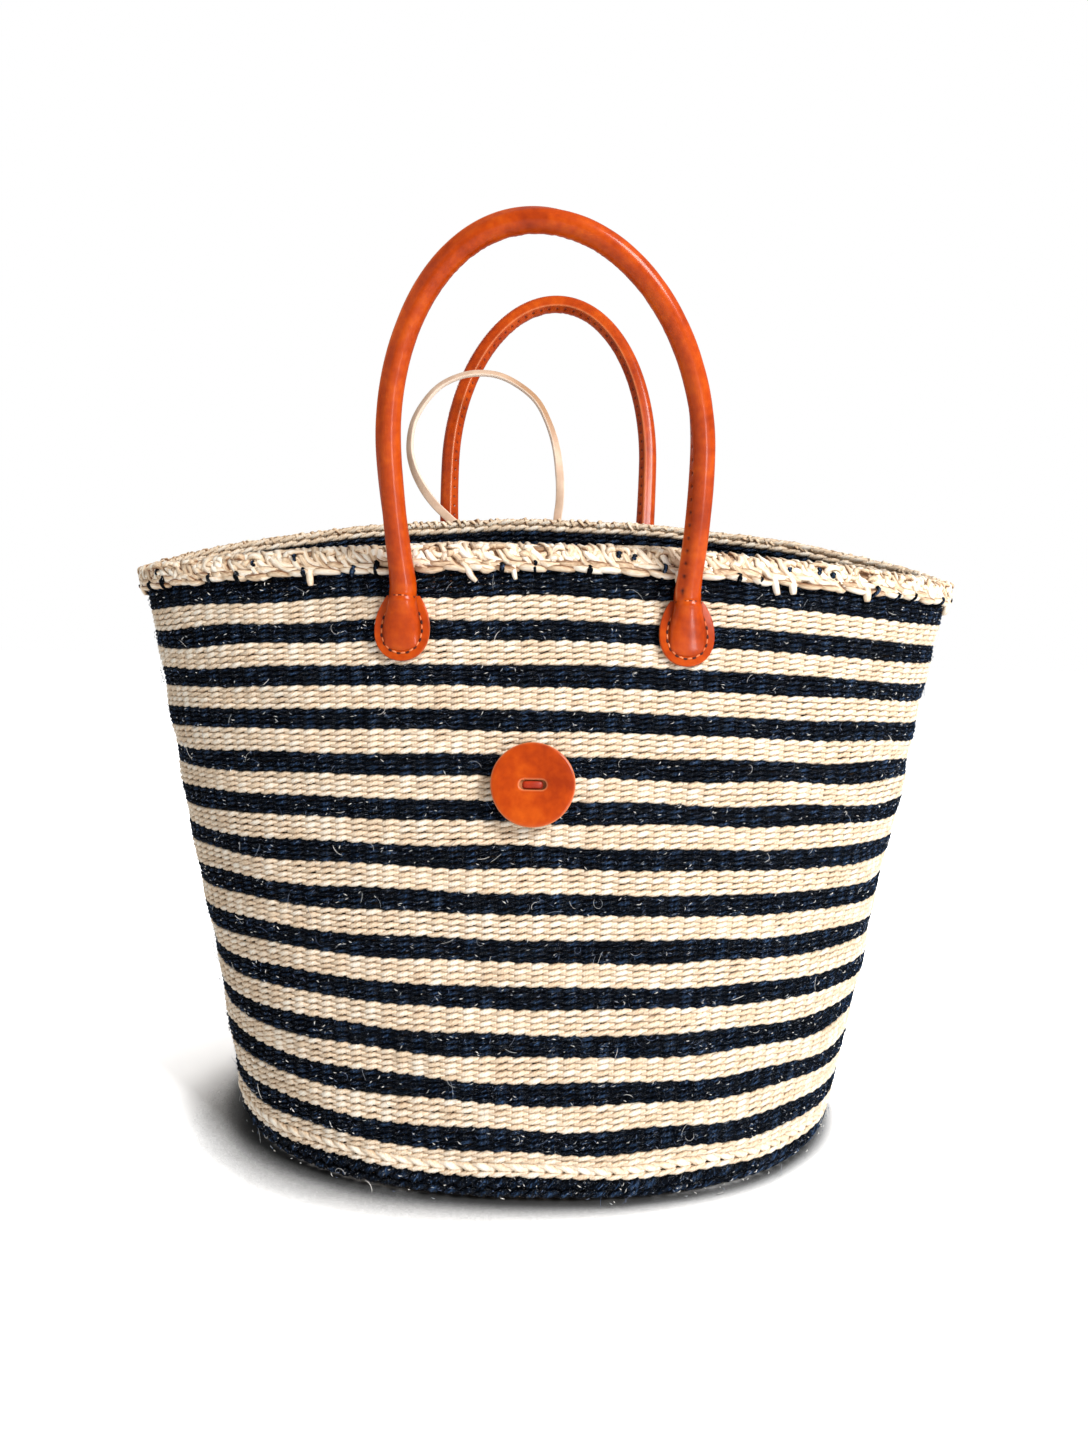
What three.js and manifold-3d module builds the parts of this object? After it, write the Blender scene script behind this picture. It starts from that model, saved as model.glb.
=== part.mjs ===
// Kiondo basket: a sisal tote twined in navy and natural bands, with two rolled leather handles,
// a leather button on the front wall and a leather closure loop behind the back rim.
// Frame: the origin is the centre of the flat base, +X points right, +Y to the back and +Z up.
// Lengths are millimetres and angles are radians.

import * as THREE from 'three';
import { mergeVertices } from 'three/addons/utils/BufferGeometryUtils.js';
import Module from 'manifold-3d';

const wasm = await Module();
wasm.setup();

// Clearances
const COURSE_GAP = 0.3;
const SEAT_GAP = 0.3;
const SWING_CLEARANCE = 0.7;
const CUT_OVERRUN = 3;

// Wall of the basket, from the base edge up to the rim
const BASE_BAND_HEIGHT = 12;
const NAVY_BAND_HEIGHT = 9.8;
const NATURAL_BAND_HEIGHT = 11.5;
const STRIPE_PAIRS = 13;
const RIM_BRAID_HEIGHT = 15;
const WALL_THICKNESS = 5;
const BAND_BULGE = 0.6;
const RIM_HALF_WIDTH = 220;
const RIM_HALF_DEPTH = 76;
const FOOT_HALF_WIDTH = 160;
const FOOT_HALF_DEPTH = 136;
const SIDE_BELLY = 1.6;
const FRONT_HOLLOW = 1.3;
const RIM_BACK_LEAD = 26;
const RIM_END_DIP = 23;
const RIM_PROUD = 2.4;
const BASE_THICKNESS = 5;
const PLAN_SQUARENESS = 2.3;
const SADDLE_RATE = 1.6;
const WALL_SEGMENTS = 32;
const HEIGHT_SEARCH_STEPS = 40;

// Rim braid section: share of its height, and share of RIM_PROUD past each face of the wall
const RIM_OUTER_SHARES = [[0, 0], [0.22, 0.8], [0.58, 1], [0.88, 0.5]];
const RIM_INNER_SHARES = [[0.88, 0.3], [0.5, 0.6], [0, 0]];
const RIM_CREST_SHARES = [0.3, 0.7];

// Rolled leather handles
const HANDLE_RADIUS = 5.2;
const HANDLE_LEATHER = 1.6;
const HANDLE_END_OPENING = 1.2;
const HANDLE_SHOULDER_HEIGHT = 60;
const SEAM_GROOVE_DEPTH = 0.9;
const PIVOT_BELOW_RIM = 20;
const HANDLE_STEPS = 18;
const HANDLE_LEG_SHARE = 0.22;
const HANDLE_END_TURN_SHARES = [0, 0.33, 0.67];
const SLEEVE_ANGLES_DEG = [0, 14, 48, 84, 120, 156, 192, 228, 264, 300, 328, 346];
const CORE_ANGLES_DEG = [0, 45, 90, 135, 180, 225, 270, 315];

// Turn of each handle's stitched seam, from the outside of its arch over the face that looks away
// from the basket
const FRONT_SEAM_TURN = THREE.MathUtils.degToRad(18);
const BACK_SEAM_TURN = THREE.MathUtils.degToRad(-108);

const FRONT_HANDLE = {
  halfSpan: 72,
  footHalfSpan: 68,
  height: 159,
  sway: -6,
  tilt: THREE.MathUtils.degToRad(16),
  seamTurn: FRONT_SEAM_TURN,
};
const BACK_HANDLE = {
  halfSpan: 63,
  footHalfSpan: 61,
  height: 168,
  sway: 4,
  tilt: THREE.MathUtils.degToRad(12),
  seamTurn: BACK_SEAM_TURN,
};

// Stitched leather tabs at the handle feet, and the patches inside the wall behind them
const TAB_HALF_WIDTH = 13.5;
const TAB_LENGTH = 32;
const TAB_NECK_HALF_WIDTH = 8;
const TAB_LEATHER = 2.2;
const TONGUE_TOP_HALF_WIDTH = 5.6;
const TONGUE_HALF_WIDTH = 9;
const TONGUE_END_MARGIN = 4.5;
const TONGUE_LOW_HEIGHT = 1.4;
const TONGUE_ARC_STEPS = 8;
const PATCH_LEATHER = 1.8;
const PATCH_INSET = 1.5;
const INNER_SEAT = 0.8;

// Edge of a tab: share of its half width and share of the way down from its neck to its waist, then
// the handles of its round end as shares of its half width
const TAB_SHOULDER_SHARES = [[0.85, 0.3], [1, 0.6]];
const TAB_WAIST_SHARE = 1.1;
const TAB_END_WIDTH_SHARE = 0.6;
const TAB_END_DROP_SHARE = 0.62;

// Tongue of a tab: share of its length, share of its spread and share of its crown
const TONGUE_SHARES = [[0, 0, 1], [0.22, 0.45, 0.72], [0.5, 1, 0.42], [0.78, 0.9, 0.2], [1, 0.2, 0]];

// Button on the front wall, its thong through the wall and the washer inside
const BUTTON_OFFSET = -4;
const BUTTON_BELOW_RIM = 115;
const BUTTON_RADIUS = 20;
const BUTTON_FACE_LEATHER = 1.9;
const BUTTON_BACK_LEATHER = 1.8;
const BUTTON_STAND_OFF = 3.2;
const SLOT_HALF_LENGTH = 6.4;
const SLOT_HALF_HEIGHT = 2.35;
const THONG_THICKNESS = 1.4;
const THONG_HALF_WIDTH = 1.8;
const THONG_HALF_SPAN = 5.6;
const THONG_RECESS = 0.7;
const THONG_CLEARANCE = 0.3;
const SHANK_RADIUS = 2;
const HOLE_CLEARANCE = 0.4;
const WASHER_RADIUS = 8;
const WASHER_LEATHER = 1.6;
const KNOT_RADIUS = 4.6;
const KNOT_FLATNESS_SHARE = 0.7;
const KNOT_SIDES = 10;
const KNOT_BANDS = 6;
const BUTTON_SIDES = 32;
const SHANK_SIDES = 12;

// Closure loop: a flat thong that stands up behind the back rim and is knotted through the wall
const LOOP_WIDTH = 5.2;
const LOOP_THICKNESS = 2.2;
const LOOP_HEIGHT = 88;
const LOOP_SPAN = 94;
const LOOP_RIGHT_FOOT = 6.5;
const LOOP_TWIST = THREE.MathUtils.degToRad(48);
const LOOP_RISE_OVER_RIM = 0.6;
const LOOP_STEPS = 40;
const LOOP_ROUND_STEPS = 4;
const LOOP_ROUND_TURN = THREE.MathUtils.degToRad(72);
const ANCHOR_OFFSET = 3;
const ANCHOR_BELOW_RIM = 70;
const ANCHOR_SHANK_RADIUS = 2.8;
const ANCHOR_KNOT_RADIUS = 5.4;
const TAIL_STEPS = 10;

// Centreline of the loop from its right foot: share of the span to the left of that foot, share of
// the height, and share of the twist
const LOOP_ROUTE_SHARES = [
  [0, 0, 0], [-0.012, 0.12, 0], [-0.01, 0.28, 0.3], [0.02, 0.5, 0.8], [0.078, 0.68, 1],
  [0.155, 0.82, 1], [0.27, 0.92, 1], [0.4, 0.985, 1], [0.535, 1, 1], [0.665, 0.975, 1],
  [0.795, 0.905, 1], [0.895, 0.79, 1], [0.967, 0.645, 1], [0.988, 0.475, 0.9], [0.96, 0.33, 0.7],
  [0.9, 0.2, 0.35], [0.824, 0.09, 0], [0.735, 0, 0],
];
const LEFT_TAIL_SHARES = [[0, 0], [0.28, 0.22], [0.56, 0.47], [0.8, 0.72], [0.95, 0.9], [1, 1]];
const RIGHT_TAIL_SHARES = [[0, 0], [0.1, 0.25], [0.3, 0.5], [0.7, 0.8], [1, 1]];

const NAVY = { color: 0x1c2c47, roughness: 0.8, metalness: 0 };
const NATURAL = { color: 0xe6d5b8, roughness: 0.8, metalness: 0 };
const LEATHER = { color: 0xc9541d, roughness: 0.42, metalness: 0 };
const LEATHER_BACK = { color: 0xa8643a, roughness: 0.75, metalness: 0 };
const ROPE = { color: 0xc9b48c, roughness: 0.9, metalness: 0 };
const RAW_LEATHER = { color: 0xe2c6a8, roughness: 0.6, metalness: 0 };
const DARK_THONG = { color: 0x9c3417, roughness: 0.5, metalness: 0 };

// Sizes worked out from the driving dimensions
const PAIR_HEIGHT = NAVY_BAND_HEIGHT + NATURAL_BAND_HEIGHT;
const WALL_HEIGHT = BASE_BAND_HEIGHT + STRIPE_PAIRS * PAIR_HEIGHT + RIM_BRAID_HEIGHT;
const SEAT_OFFSET = BAND_BULGE + SEAT_GAP;
const FRONT_STAND_OFF = HANDLE_RADIUS + BAND_BULGE + SWING_CLEARANCE;
const BACK_STAND_OFF = FRONT_STAND_OFF + LOOP_THICKNESS + 2 * SEAT_GAP;
const CORE_RADIUS = HANDLE_RADIUS - HANDLE_LEATHER - SEAT_GAP;
const TAU = 2 * Math.PI;
const UP = new THREE.Vector3(0, 0, 1);
const ALONG_X = new THREE.Vector3(1, 0, 0);
const ALONG_Y = new THREE.Vector3(0, 1, 0);

const basket = new THREE.Group();

/** Adds one named piece to a group, with a material of its own. */
function addPiece(parent, name, geometry, finish) {
  const piece = new THREE.Mesh(geometry, new THREE.MeshStandardMaterial(finish));
  piece.name = name;
  parent.add(piece);
  return piece;
}

// Shape of the wall

/** Half width and half depth of the wall's plan at a share of its height. */
function planAt(share) {
  const bow = 4 * share * (1 - share);
  return {
    halfWidth: THREE.MathUtils.lerp(FOOT_HALF_WIDTH, RIM_HALF_WIDTH, share) + SIDE_BELLY * bow,
    halfDepth: THREE.MathUtils.lerp(FOOT_HALF_DEPTH, RIM_HALF_DEPTH, share) - FRONT_HOLLOW * bow,
  };
}

/** Height of the wall at a share of its height: the rim is a saddle, higher at the back. */
function heightAt(share, angle) {
  const lead = 0.5 * RIM_BACK_LEAD * Math.sin(angle) * share;
  const saddle = -0.5 * RIM_END_DIP * Math.cos(2 * angle) * share ** SADDLE_RATE;
  return WALL_HEIGHT * share + lead + saddle;
}

/** Point of the wall's outer face, moved level towards the inside by the inset. */
function wallPoint(share, angle, inset = 0) {
  const { halfWidth, halfDepth } = planAt(share);
  const c = Math.cos(angle);
  const s = Math.sin(angle);
  const n = PLAN_SQUARENESS;
  const reach = (Math.abs(c) ** n + Math.abs(s) ** n) ** (-1 / n);
  const normal = new THREE.Vector2(
    (Math.sign(c) * Math.abs(c * reach) ** (n - 1)) / halfWidth,
    (Math.sign(s) * Math.abs(s * reach) ** (n - 1)) / halfDepth,
  ).normalize();
  return new THREE.Vector3(
    halfWidth * c * reach - inset * normal.x,
    halfDepth * s * reach - inset * normal.y,
    heightAt(share, angle),
  );
}

/** Point of the front wall (side -1) or back wall (side 1) at a given x and z. */
function wallAt(x, z, side) {
  let low = 0;
  let high = 1;
  let point = null;
  for (let i = 0; i < HEIGHT_SEARCH_STEPS; i += 1) {
    const share = (low + high) / 2;
    const { halfWidth, halfDepth } = planAt(share);
    const across = (Math.abs(x) / halfWidth) ** PLAN_SQUARENESS;
    const along = side * (1 - across) ** (1 / PLAN_SQUARENESS);
    const height = heightAt(share, Math.atan2(along, x / halfWidth));
    point = new THREE.Vector3(x, halfDepth * along, height);
    if (height < z) low = share;
    else high = share;
  }
  return point;
}

/** Outward unit normal of the front or back wall at a given x and z. */
function wallNormal(x, z, side) {
  const probe = WALL_THICKNESS;
  const slopeX = (wallAt(x + probe, z, side).y - wallAt(x - probe, z, side).y) / (2 * probe);
  const slopeZ = (wallAt(x, z + probe, side).y - wallAt(x, z - probe, side).y) / (2 * probe);
  return new THREE.Vector3(-slopeX, 1, -slopeZ).multiplyScalar(side).normalize();
}

/** Group seated on the wall: its z axis points outward, its y axis up and its x axis along. */
function seatOnWall(x, z, side) {
  const outward = wallNormal(x, z, side);
  const along = new THREE.Vector3().crossVectors(UP, outward).normalize();
  const rise = new THREE.Vector3().crossVectors(outward, along);
  const seat = new THREE.Group();
  seat.position.copy(wallAt(x, z, side));
  seat.quaternion.setFromRotationMatrix(new THREE.Matrix4().makeBasis(along, rise, outward));
  seat.updateMatrix();
  basket.add(seat);
  return seat;
}

/** Height of the rim above an x of the front wall (side -1) or back wall (side 1). */
function rimHeight(x, side) {
  const across = (Math.abs(x) / RIM_HALF_WIDTH) ** PLAN_SQUARENESS;
  const along = side * (1 - across) ** (1 / PLAN_SQUARENESS);
  return heightAt(1, Math.atan2(along, x / RIM_HALF_WIDTH));
}

// Solids made from rings of points, and cuts and joins

/** Volume that an indexed triangle mesh encloses, negative where its faces point in. */
function signedVolume(points, index) {
  let volume = 0;
  const normal = new THREE.Vector3();
  for (let i = 0; i < index.length; i += 3) {
    const [a, b, c] = [points[index[i]], points[index[i + 1]], points[index[i + 2]]];
    volume += normal.crossVectors(b, c).dot(a) / 6;
  }
  return volume;
}

/** Closed solid skinned over rings of points; the rings end in flat caps or meet round a loop. */
function skinRings(rings, isLoop) {
  const count = rings[0].length;
  const points = rings.flat();
  const index = [];
  const spans = isLoop ? rings.length : rings.length - 1;
  for (let i = 0; i < spans; i += 1) {
    const here = i * count;
    const next = ((i + 1) % rings.length) * count;
    for (let j = 0; j < count; j += 1) {
      const k = (j + 1) % count;
      index.push(here + j, next + j, next + k, here + j, next + k, here + k);
    }
  }
  if (!isLoop) {
    const last = (rings.length - 1) * count;
    for (let j = 1; j < count - 1; j += 1) {
      index.push(0, j, j + 1, last, last + j + 1, last + j);
    }
  }
  if (signedVolume(points, index) < 0) index.reverse();
  const geometry = new THREE.BufferGeometry().setFromPoints(points);
  geometry.setIndex(index);
  return geometry;
}

/** Solid for cuts and joins made from a closed geometry. */
function toSolid(geometry) {
  const bare = geometry.clone();
  bare.deleteAttribute('normal');
  bare.deleteAttribute('uv');
  const merged = mergeVertices(bare);
  const vertProperties = new Float32Array(merged.attributes.position.array);
  const triVerts = new Uint32Array(merged.index.array);
  return new wasm.Manifold(new wasm.Mesh({ numProp: 3, vertProperties, triVerts }));
}

/** Geometry of a solid. */
function toGeometry(solid) {
  const mesh = solid.getMesh();
  const geometry = new THREE.BufferGeometry();
  geometry.setAttribute('position', new THREE.BufferAttribute(mesh.vertProperties, 3));
  geometry.setIndex(new THREE.BufferAttribute(mesh.triVerts, 1));
  return geometry;
}

/** Geometry of several closed geometries joined into one body. */
function joined(...geometries) {
  return toGeometry(geometries.map(toSolid).reduce((whole, next) => whole.add(next)));
}

/** Round bar along a seat's outward axis, from one height to another. */
function roundBar(radius, low, high, sides) {
  const bar = new THREE.CylinderGeometry(radius, radius, high - low, sides);
  bar.rotateX(Math.PI / 2);
  bar.translate(0, 0, (low + high) / 2);
  return bar;
}

/** Flattened knot centred on a seat's outward axis. */
function knotBall(radius, centre) {
  const ball = new THREE.SphereGeometry(radius, KNOT_SIDES, KNOT_BANDS);
  ball.rotateX(Math.PI / 2);
  ball.scale(1, 1, KNOT_FLATNESS_SHARE);
  ball.translate(0, 0, centre);
  return ball;
}

/** Flat washer with a round hole, from one height to another along a seat's outward axis. */
function washer(radius, holeRadius, low, thickness) {
  const outline = new THREE.Shape().absarc(0, 0, radius, 0, TAU);
  outline.holes.push(new THREE.Path().absarc(0, 0, holeRadius, 0, TAU, true));
  const disc = new THREE.ExtrudeGeometry(outline, {
    depth: thickness,
    bevelEnabled: false,
    curveSegments: 10,
  });
  disc.translate(0, 0, low);
  return disc;
}

// Places of the button and of the closure loop's anchor

const buttonHeight = rimHeight(BUTTON_OFFSET, -1) - BUTTON_BELOW_RIM;
const buttonSeat = seatOnWall(BUTTON_OFFSET, buttonHeight, -1);
const anchorHeight = rimHeight(ANCHOR_OFFSET, 1) - ANCHOR_BELOW_RIM;
const anchorSeat = seatOnWall(ANCHOR_OFFSET, anchorHeight, 1);
const innerFace = -WALL_THICKNESS - INNER_SEAT;

// Woven bands, rim braid and base

/** Tool that clears a hole through the wall round a thong's shank. */
function wallHole(seat, shankRadius) {
  const outside = BAND_BULGE + CUT_OVERRUN;
  const inside = -WALL_THICKNESS - CUT_OVERRUN;
  const bar = roundBar(shankRadius + HOLE_CLEARANCE, inside, outside, SHANK_SIDES);
  return toSolid(bar.applyMatrix4(seat.matrix));
}

const wallHoles = [
  { height: buttonHeight, tool: wallHole(buttonSeat, SHANK_RADIUS) },
  { height: anchorHeight, tool: wallHole(anchorSeat, ANCHOR_SHANK_RADIUS) },
];

/** One band of twined rows: a ring between two courses, gently rounded outside. */
function bandGeometry(low, high) {
  const lowShare = low / WALL_HEIGHT;
  const highShare = (high - COURSE_GAP) / WALL_HEIGHT;
  const midShare = (lowShare + highShare) / 2;
  const rings = [];
  for (let i = 0; i < WALL_SEGMENTS; i += 1) {
    const angle = (i / WALL_SEGMENTS) * TAU;
    rings.push([
      wallPoint(lowShare, angle),
      wallPoint(midShare, angle, -BAND_BULGE),
      wallPoint(highShare, angle),
      wallPoint(highShare, angle, WALL_THICKNESS),
      wallPoint(lowShare, angle, WALL_THICKNESS),
    ]);
  }
  let geometry = skinRings(rings, true);
  for (const { height, tool } of wallHoles) {
    geometry.computeBoundingBox();
    const { min, max } = geometry.boundingBox;
    const margin = 2 * ANCHOR_SHANK_RADIUS;
    if (height > min.z - margin && height < max.z + margin) {
      geometry = toGeometry(toSolid(geometry).subtract(tool));
    }
  }
  return geometry;
}

/** Looped braid that finishes the rim, proud of the wall on both faces. */
function rimGeometry() {
  const low = 1 - RIM_BRAID_HEIGHT / WALL_HEIGHT;
  const at = (share) => THREE.MathUtils.lerp(low, 1, share);
  const rings = [];
  for (let i = 0; i < WALL_SEGMENTS; i += 1) {
    const angle = (i / WALL_SEGMENTS) * TAU;
    const outer = RIM_OUTER_SHARES.map(
      ([height, proud]) => wallPoint(at(height), angle, -proud * RIM_PROUD),
    );
    const crest = RIM_CREST_SHARES.map(
      (across) => wallPoint(1, angle, across * WALL_THICKNESS),
    );
    const inner = RIM_INNER_SHARES.map(
      ([height, proud]) => wallPoint(at(height), angle, WALL_THICKNESS + proud * RIM_PROUD),
    );
    rings.push([...outer, ...crest, ...inner]);
  }
  return skinRings(rings, true);
}

/** Woven base: a flat oval plate that fits inside the lowest band. */
function baseGeometry() {
  const rings = [0, BASE_THICKNESS].map((height) => {
    const ring = [];
    for (let i = 0; i < WALL_SEGMENTS; i += 1) {
      const angle = (i / WALL_SEGMENTS) * TAU;
      const edge = wallPoint(height / WALL_HEIGHT, angle, WALL_THICKNESS + COURSE_GAP);
      ring.push(edge.setZ(height));
    }
    return ring;
  });
  return skinRings(rings, false);
}

/** Two-digit number of a repeated piece. */
function numbered(name, number) {
  return `${name}_${String(number).padStart(2, '0')}`;
}

addPiece(basket, 'woven_base', baseGeometry(), NATURAL);
let course = 0;
addPiece(
  basket,
  numbered('navy_weft_band', STRIPE_PAIRS + 1),
  bandGeometry(course, course + BASE_BAND_HEIGHT),
  NAVY,
);
course += BASE_BAND_HEIGHT;
for (let number = STRIPE_PAIRS; number > 0; number -= 1) {
  const natural = bandGeometry(course, course + NATURAL_BAND_HEIGHT);
  addPiece(basket, numbered('natural_weft_band', number), natural, NATURAL);
  course += NATURAL_BAND_HEIGHT;
  const navy = bandGeometry(course, course + NAVY_BAND_HEIGHT);
  addPiece(basket, numbered('navy_weft_band', number), navy, NAVY);
  course += NAVY_BAND_HEIGHT;
}
addPiece(basket, 'rim_braid', rimGeometry(), NATURAL);

// Handles

/** Centreline of a handle in its own plane: two near-straight legs and an elliptical arch. */
class HandleArch extends THREE.Curve {
  constructor({ halfSpan, footHalfSpan, height, sway }) {
    super();
    Object.assign(this, { halfSpan, footHalfSpan, height, sway });
  }

  getPoint(t) {
    const side = t < 0.5 ? -1 : 1;
    const along = t < 0.5 ? t : 1 - t;
    let half = 0;
    let rise = 0;
    if (along < HANDLE_LEG_SHARE) {
      const up = along / HANDLE_LEG_SHARE;
      half = this.halfSpan - (this.halfSpan - this.footHalfSpan) * (1 - up) ** 2;
      rise = HANDLE_SHOULDER_HEIGHT * up;
    } else {
      const turn = ((along - HANDLE_LEG_SHARE) / (0.5 - HANDLE_LEG_SHARE)) * (Math.PI / 2);
      half = this.halfSpan * Math.cos(turn);
      rise = HANDLE_SHOULDER_HEIGHT + (this.height - HANDLE_SHOULDER_HEIGHT) * Math.sin(turn);
    }
    const lean = this.sway * (rise / this.height) ** 2;
    return new THREE.Vector3(side * half + lean, 0, rise);
  }
}

/** Rings of a round section along a handle, with half-round ends down to an end radius. */
function handleRings(arch, radius, endRadius, angles, sectionPoint) {
  const rings = [];
  const ring = (centre, tangent, size) => {
    const outward = new THREE.Vector3(-tangent.z, 0, tangent.x);
    rings.push(angles.map((degrees) => sectionPoint(centre, outward, size, degrees)));
  };
  const roundEnd = (foot, tangent, way) => {
    const start = Math.asin(endRadius / radius);
    const turns = HANDLE_END_TURN_SHARES.map(
      (share) => THREE.MathUtils.lerp(start, Math.PI / 2, share),
    );
    for (const turn of way < 0 ? turns : turns.reverse()) {
      const centre = foot.clone().addScaledVector(tangent, way * radius * Math.cos(turn));
      ring(centre, tangent, radius * Math.sin(turn));
    }
  };
  roundEnd(arch.getPointAt(0), arch.getTangentAt(0), -1);
  for (let i = 0; i <= HANDLE_STEPS; i += 1) {
    const u = i / HANDLE_STEPS;
    ring(arch.getPointAt(u), arch.getTangentAt(u), radius);
  }
  roundEnd(arch.getPointAt(1), arch.getTangentAt(1), 1);
  return rings;
}

/** Point of a handle's section; the first angle of the table lies at the stitched seam. */
function sectionPointFor(handle, side, grooveDepth) {
  return (centre, outward, size, degrees) => {
    const angle = side * (handle.seamTurn + THREE.MathUtils.degToRad(degrees));
    const depth = degrees === 0 ? (grooveDepth * size) / HANDLE_RADIUS : 0;
    const reach = size - depth;
    const point = centre.clone().addScaledVector(outward, reach * Math.cos(angle));
    point.y += reach * Math.sin(angle);
    return point;
  };
}

/** Leather sleeve of a handle: a rolled tube with a seam groove, open at both rounded ends. */
function sleeveGeometry(arch, handle, side) {
  const outer = handleRings(
    arch,
    HANDLE_RADIUS,
    HANDLE_END_OPENING,
    SLEEVE_ANGLES_DEG,
    sectionPointFor(handle, side, SEAM_GROOVE_DEPTH),
  );
  const inner = handleRings(
    arch,
    HANDLE_RADIUS - HANDLE_LEATHER,
    HANDLE_END_OPENING,
    SLEEVE_ANGLES_DEG,
    sectionPointFor(handle, side, 0),
  );
  return skinRings([...outer, ...inner.reverse()], true);
}

/** Outline of a stitched tab: a round-ended tongue with sloping shoulders below its neck. */
function tabOutline(inset) {
  const half = TAB_HALF_WIDTH - inset;
  const neck = TAB_NECK_HALF_WIDTH - inset;
  const top = -HANDLE_RADIUS - SEAT_GAP - inset;
  const bottom = -HANDLE_RADIUS - TAB_LENGTH + inset;
  const waist = bottom + TAB_WAIST_SHARE * half;
  const [upper, lower] = TAB_SHOULDER_SHARES.map(([across, down]) => ({
    x: across * half,
    y: THREE.MathUtils.lerp(top, waist, down),
  }));
  const endX = TAB_END_WIDTH_SHARE * half;
  const endY = waist - TAB_END_DROP_SHARE * half;
  const outline = new THREE.Shape();
  outline.moveTo(neck, top);
  outline.lineTo(-neck, top);
  outline.bezierCurveTo(-upper.x, upper.y, -lower.x, lower.y, -half, waist);
  outline.bezierCurveTo(-half, endY, -endX, bottom, 0, bottom);
  outline.bezierCurveTo(endX, bottom, half, endY, half, waist);
  outline.bezierCurveTo(lower.x, lower.y, upper.x, upper.y, neck, top);
  return outline;
}

/** Leather tab: the flared foot of the handle, pressed over the end of the rope core. */
function tabGeometry(standOff) {
  const plate = new THREE.ExtrudeGeometry(tabOutline(0), {
    depth: TAB_LEATHER,
    bevelEnabled: false,
    curveSegments: 5,
  });
  plate.translate(0, 0, SEAT_OFFSET);
  const top = -HANDLE_RADIUS - SEAT_GAP;
  const bottom = -HANDLE_RADIUS - TAB_LENGTH + TONGUE_END_MARGIN;
  const floor = SEAT_OFFSET + TAB_LEATHER / 2;
  const crown = standOff + HANDLE_RADIUS - floor;
  const low = TAB_LEATHER / 2 + TONGUE_LOW_HEIGHT;
  const rings = TONGUE_SHARES.map(([downShare, spreadShare, crownShare]) => {
    const y = THREE.MathUtils.lerp(top, bottom, downShare);
    const half = THREE.MathUtils.lerp(TONGUE_TOP_HALF_WIDTH, TONGUE_HALF_WIDTH, spreadShare);
    const height = THREE.MathUtils.lerp(low, crown, crownShare);
    const ring = [];
    for (let i = 0; i <= TONGUE_ARC_STEPS; i += 1) {
      const turn = (i / TONGUE_ARC_STEPS) * Math.PI;
      ring.push(new THREE.Vector3(half * Math.cos(turn), y, floor + height * Math.sin(turn)));
    }
    return ring;
  });
  return joined(plate, skinRings(rings, false));
}

/** Leather patch inside the wall that the tab's stitches also hold. */
function patchGeometry() {
  const patch = new THREE.ExtrudeGeometry(tabOutline(PATCH_INSET), {
    depth: PATCH_LEATHER,
    bevelEnabled: false,
    curveSegments: 4,
  });
  patch.translate(0, 0, innerFace - PATCH_LEATHER);
  return patch;
}

/** Place of a handle's swing axis, held off the wall at the top of its tabs. */
function handlePivot(handle, side, standOff) {
  const z = rimHeight(handle.footHalfSpan, side) - PIVOT_BELOW_RIM;
  const seat = wallAt(handle.footHalfSpan, z, side);
  return seat.addScaledVector(wallNormal(handle.footHalfSpan, z, side), standOff);
}

/** One handle with its leather, its rope core, and the tabs and patches at its feet. */
function addHandle(name, handle, side) {
  const arch = new HandleArch(handle);
  const standOff = side < 0 ? FRONT_STAND_OFF : BACK_STAND_OFF;
  const pivot = handlePivot(handle, side, standOff);
  const swing = new THREE.Group();
  swing.position.set(0, pivot.y, pivot.z);
  swing.rotation.x = -side * handle.tilt;
  basket.add(swing);
  addPiece(swing, `${name}_handle_leather`, sleeveGeometry(arch, handle, side), LEATHER);
  const coreSection = sectionPointFor(handle, side, 0);
  const coreRings = handleRings(arch, CORE_RADIUS, HANDLE_END_OPENING, CORE_ANGLES_DEG, coreSection);
  addPiece(swing, `${name}_handle_rope_core`, skinRings(coreRings, false), ROPE);
  const seatHeight = rimHeight(handle.footHalfSpan, side) - PIVOT_BELOW_RIM;
  for (const [hand, way] of [['left', -1], ['right', 1]]) {
    const seat = seatOnWall(way * handle.footHalfSpan, seatHeight, side);
    addPiece(seat, `${name}_${hand}_tab`, tabGeometry(standOff), LEATHER);
    addPiece(seat, `${name}_${hand}_inner_patch`, patchGeometry(), LEATHER_BACK);
  }
}

addHandle('front', FRONT_HANDLE, -1);
addHandle('back', BACK_HANDLE, 1);

// Button

/** Leather disc of the button, from one height to another, cleared by cutting tools. */
function buttonDisc(low, thickness, tools) {
  const disc = roundBar(BUTTON_RADIUS, low, low + thickness, BUTTON_SIDES);
  return toGeometry(tools.reduce((whole, tool) => whole.subtract(toSolid(tool)), toSolid(disc)));
}

const buttonBackLow = BUTTON_STAND_OFF;
const buttonFaceLow = buttonBackLow + BUTTON_BACK_LEATHER + SEAT_GAP;
const buttonTop = buttonFaceLow + BUTTON_FACE_LEATHER;

/** Tool for the slot with round ends in the button's face. */
function slotTool() {
  const flat = SLOT_HALF_LENGTH - SLOT_HALF_HEIGHT;
  const slot = new THREE.Shape();
  slot.absarc(flat, 0, SLOT_HALF_HEIGHT, -Math.PI / 2, Math.PI / 2);
  slot.absarc(-flat, 0, SLOT_HALF_HEIGHT, Math.PI / 2, (3 * Math.PI) / 2);
  const tool = new THREE.ExtrudeGeometry(slot, {
    depth: BUTTON_FACE_LEATHER + 2 * CUT_OVERRUN,
    bevelEnabled: false,
    curveSegments: 6,
  });
  tool.translate(0, 0, buttonFaceLow - CUT_OVERRUN);
  return tool;
}

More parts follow.
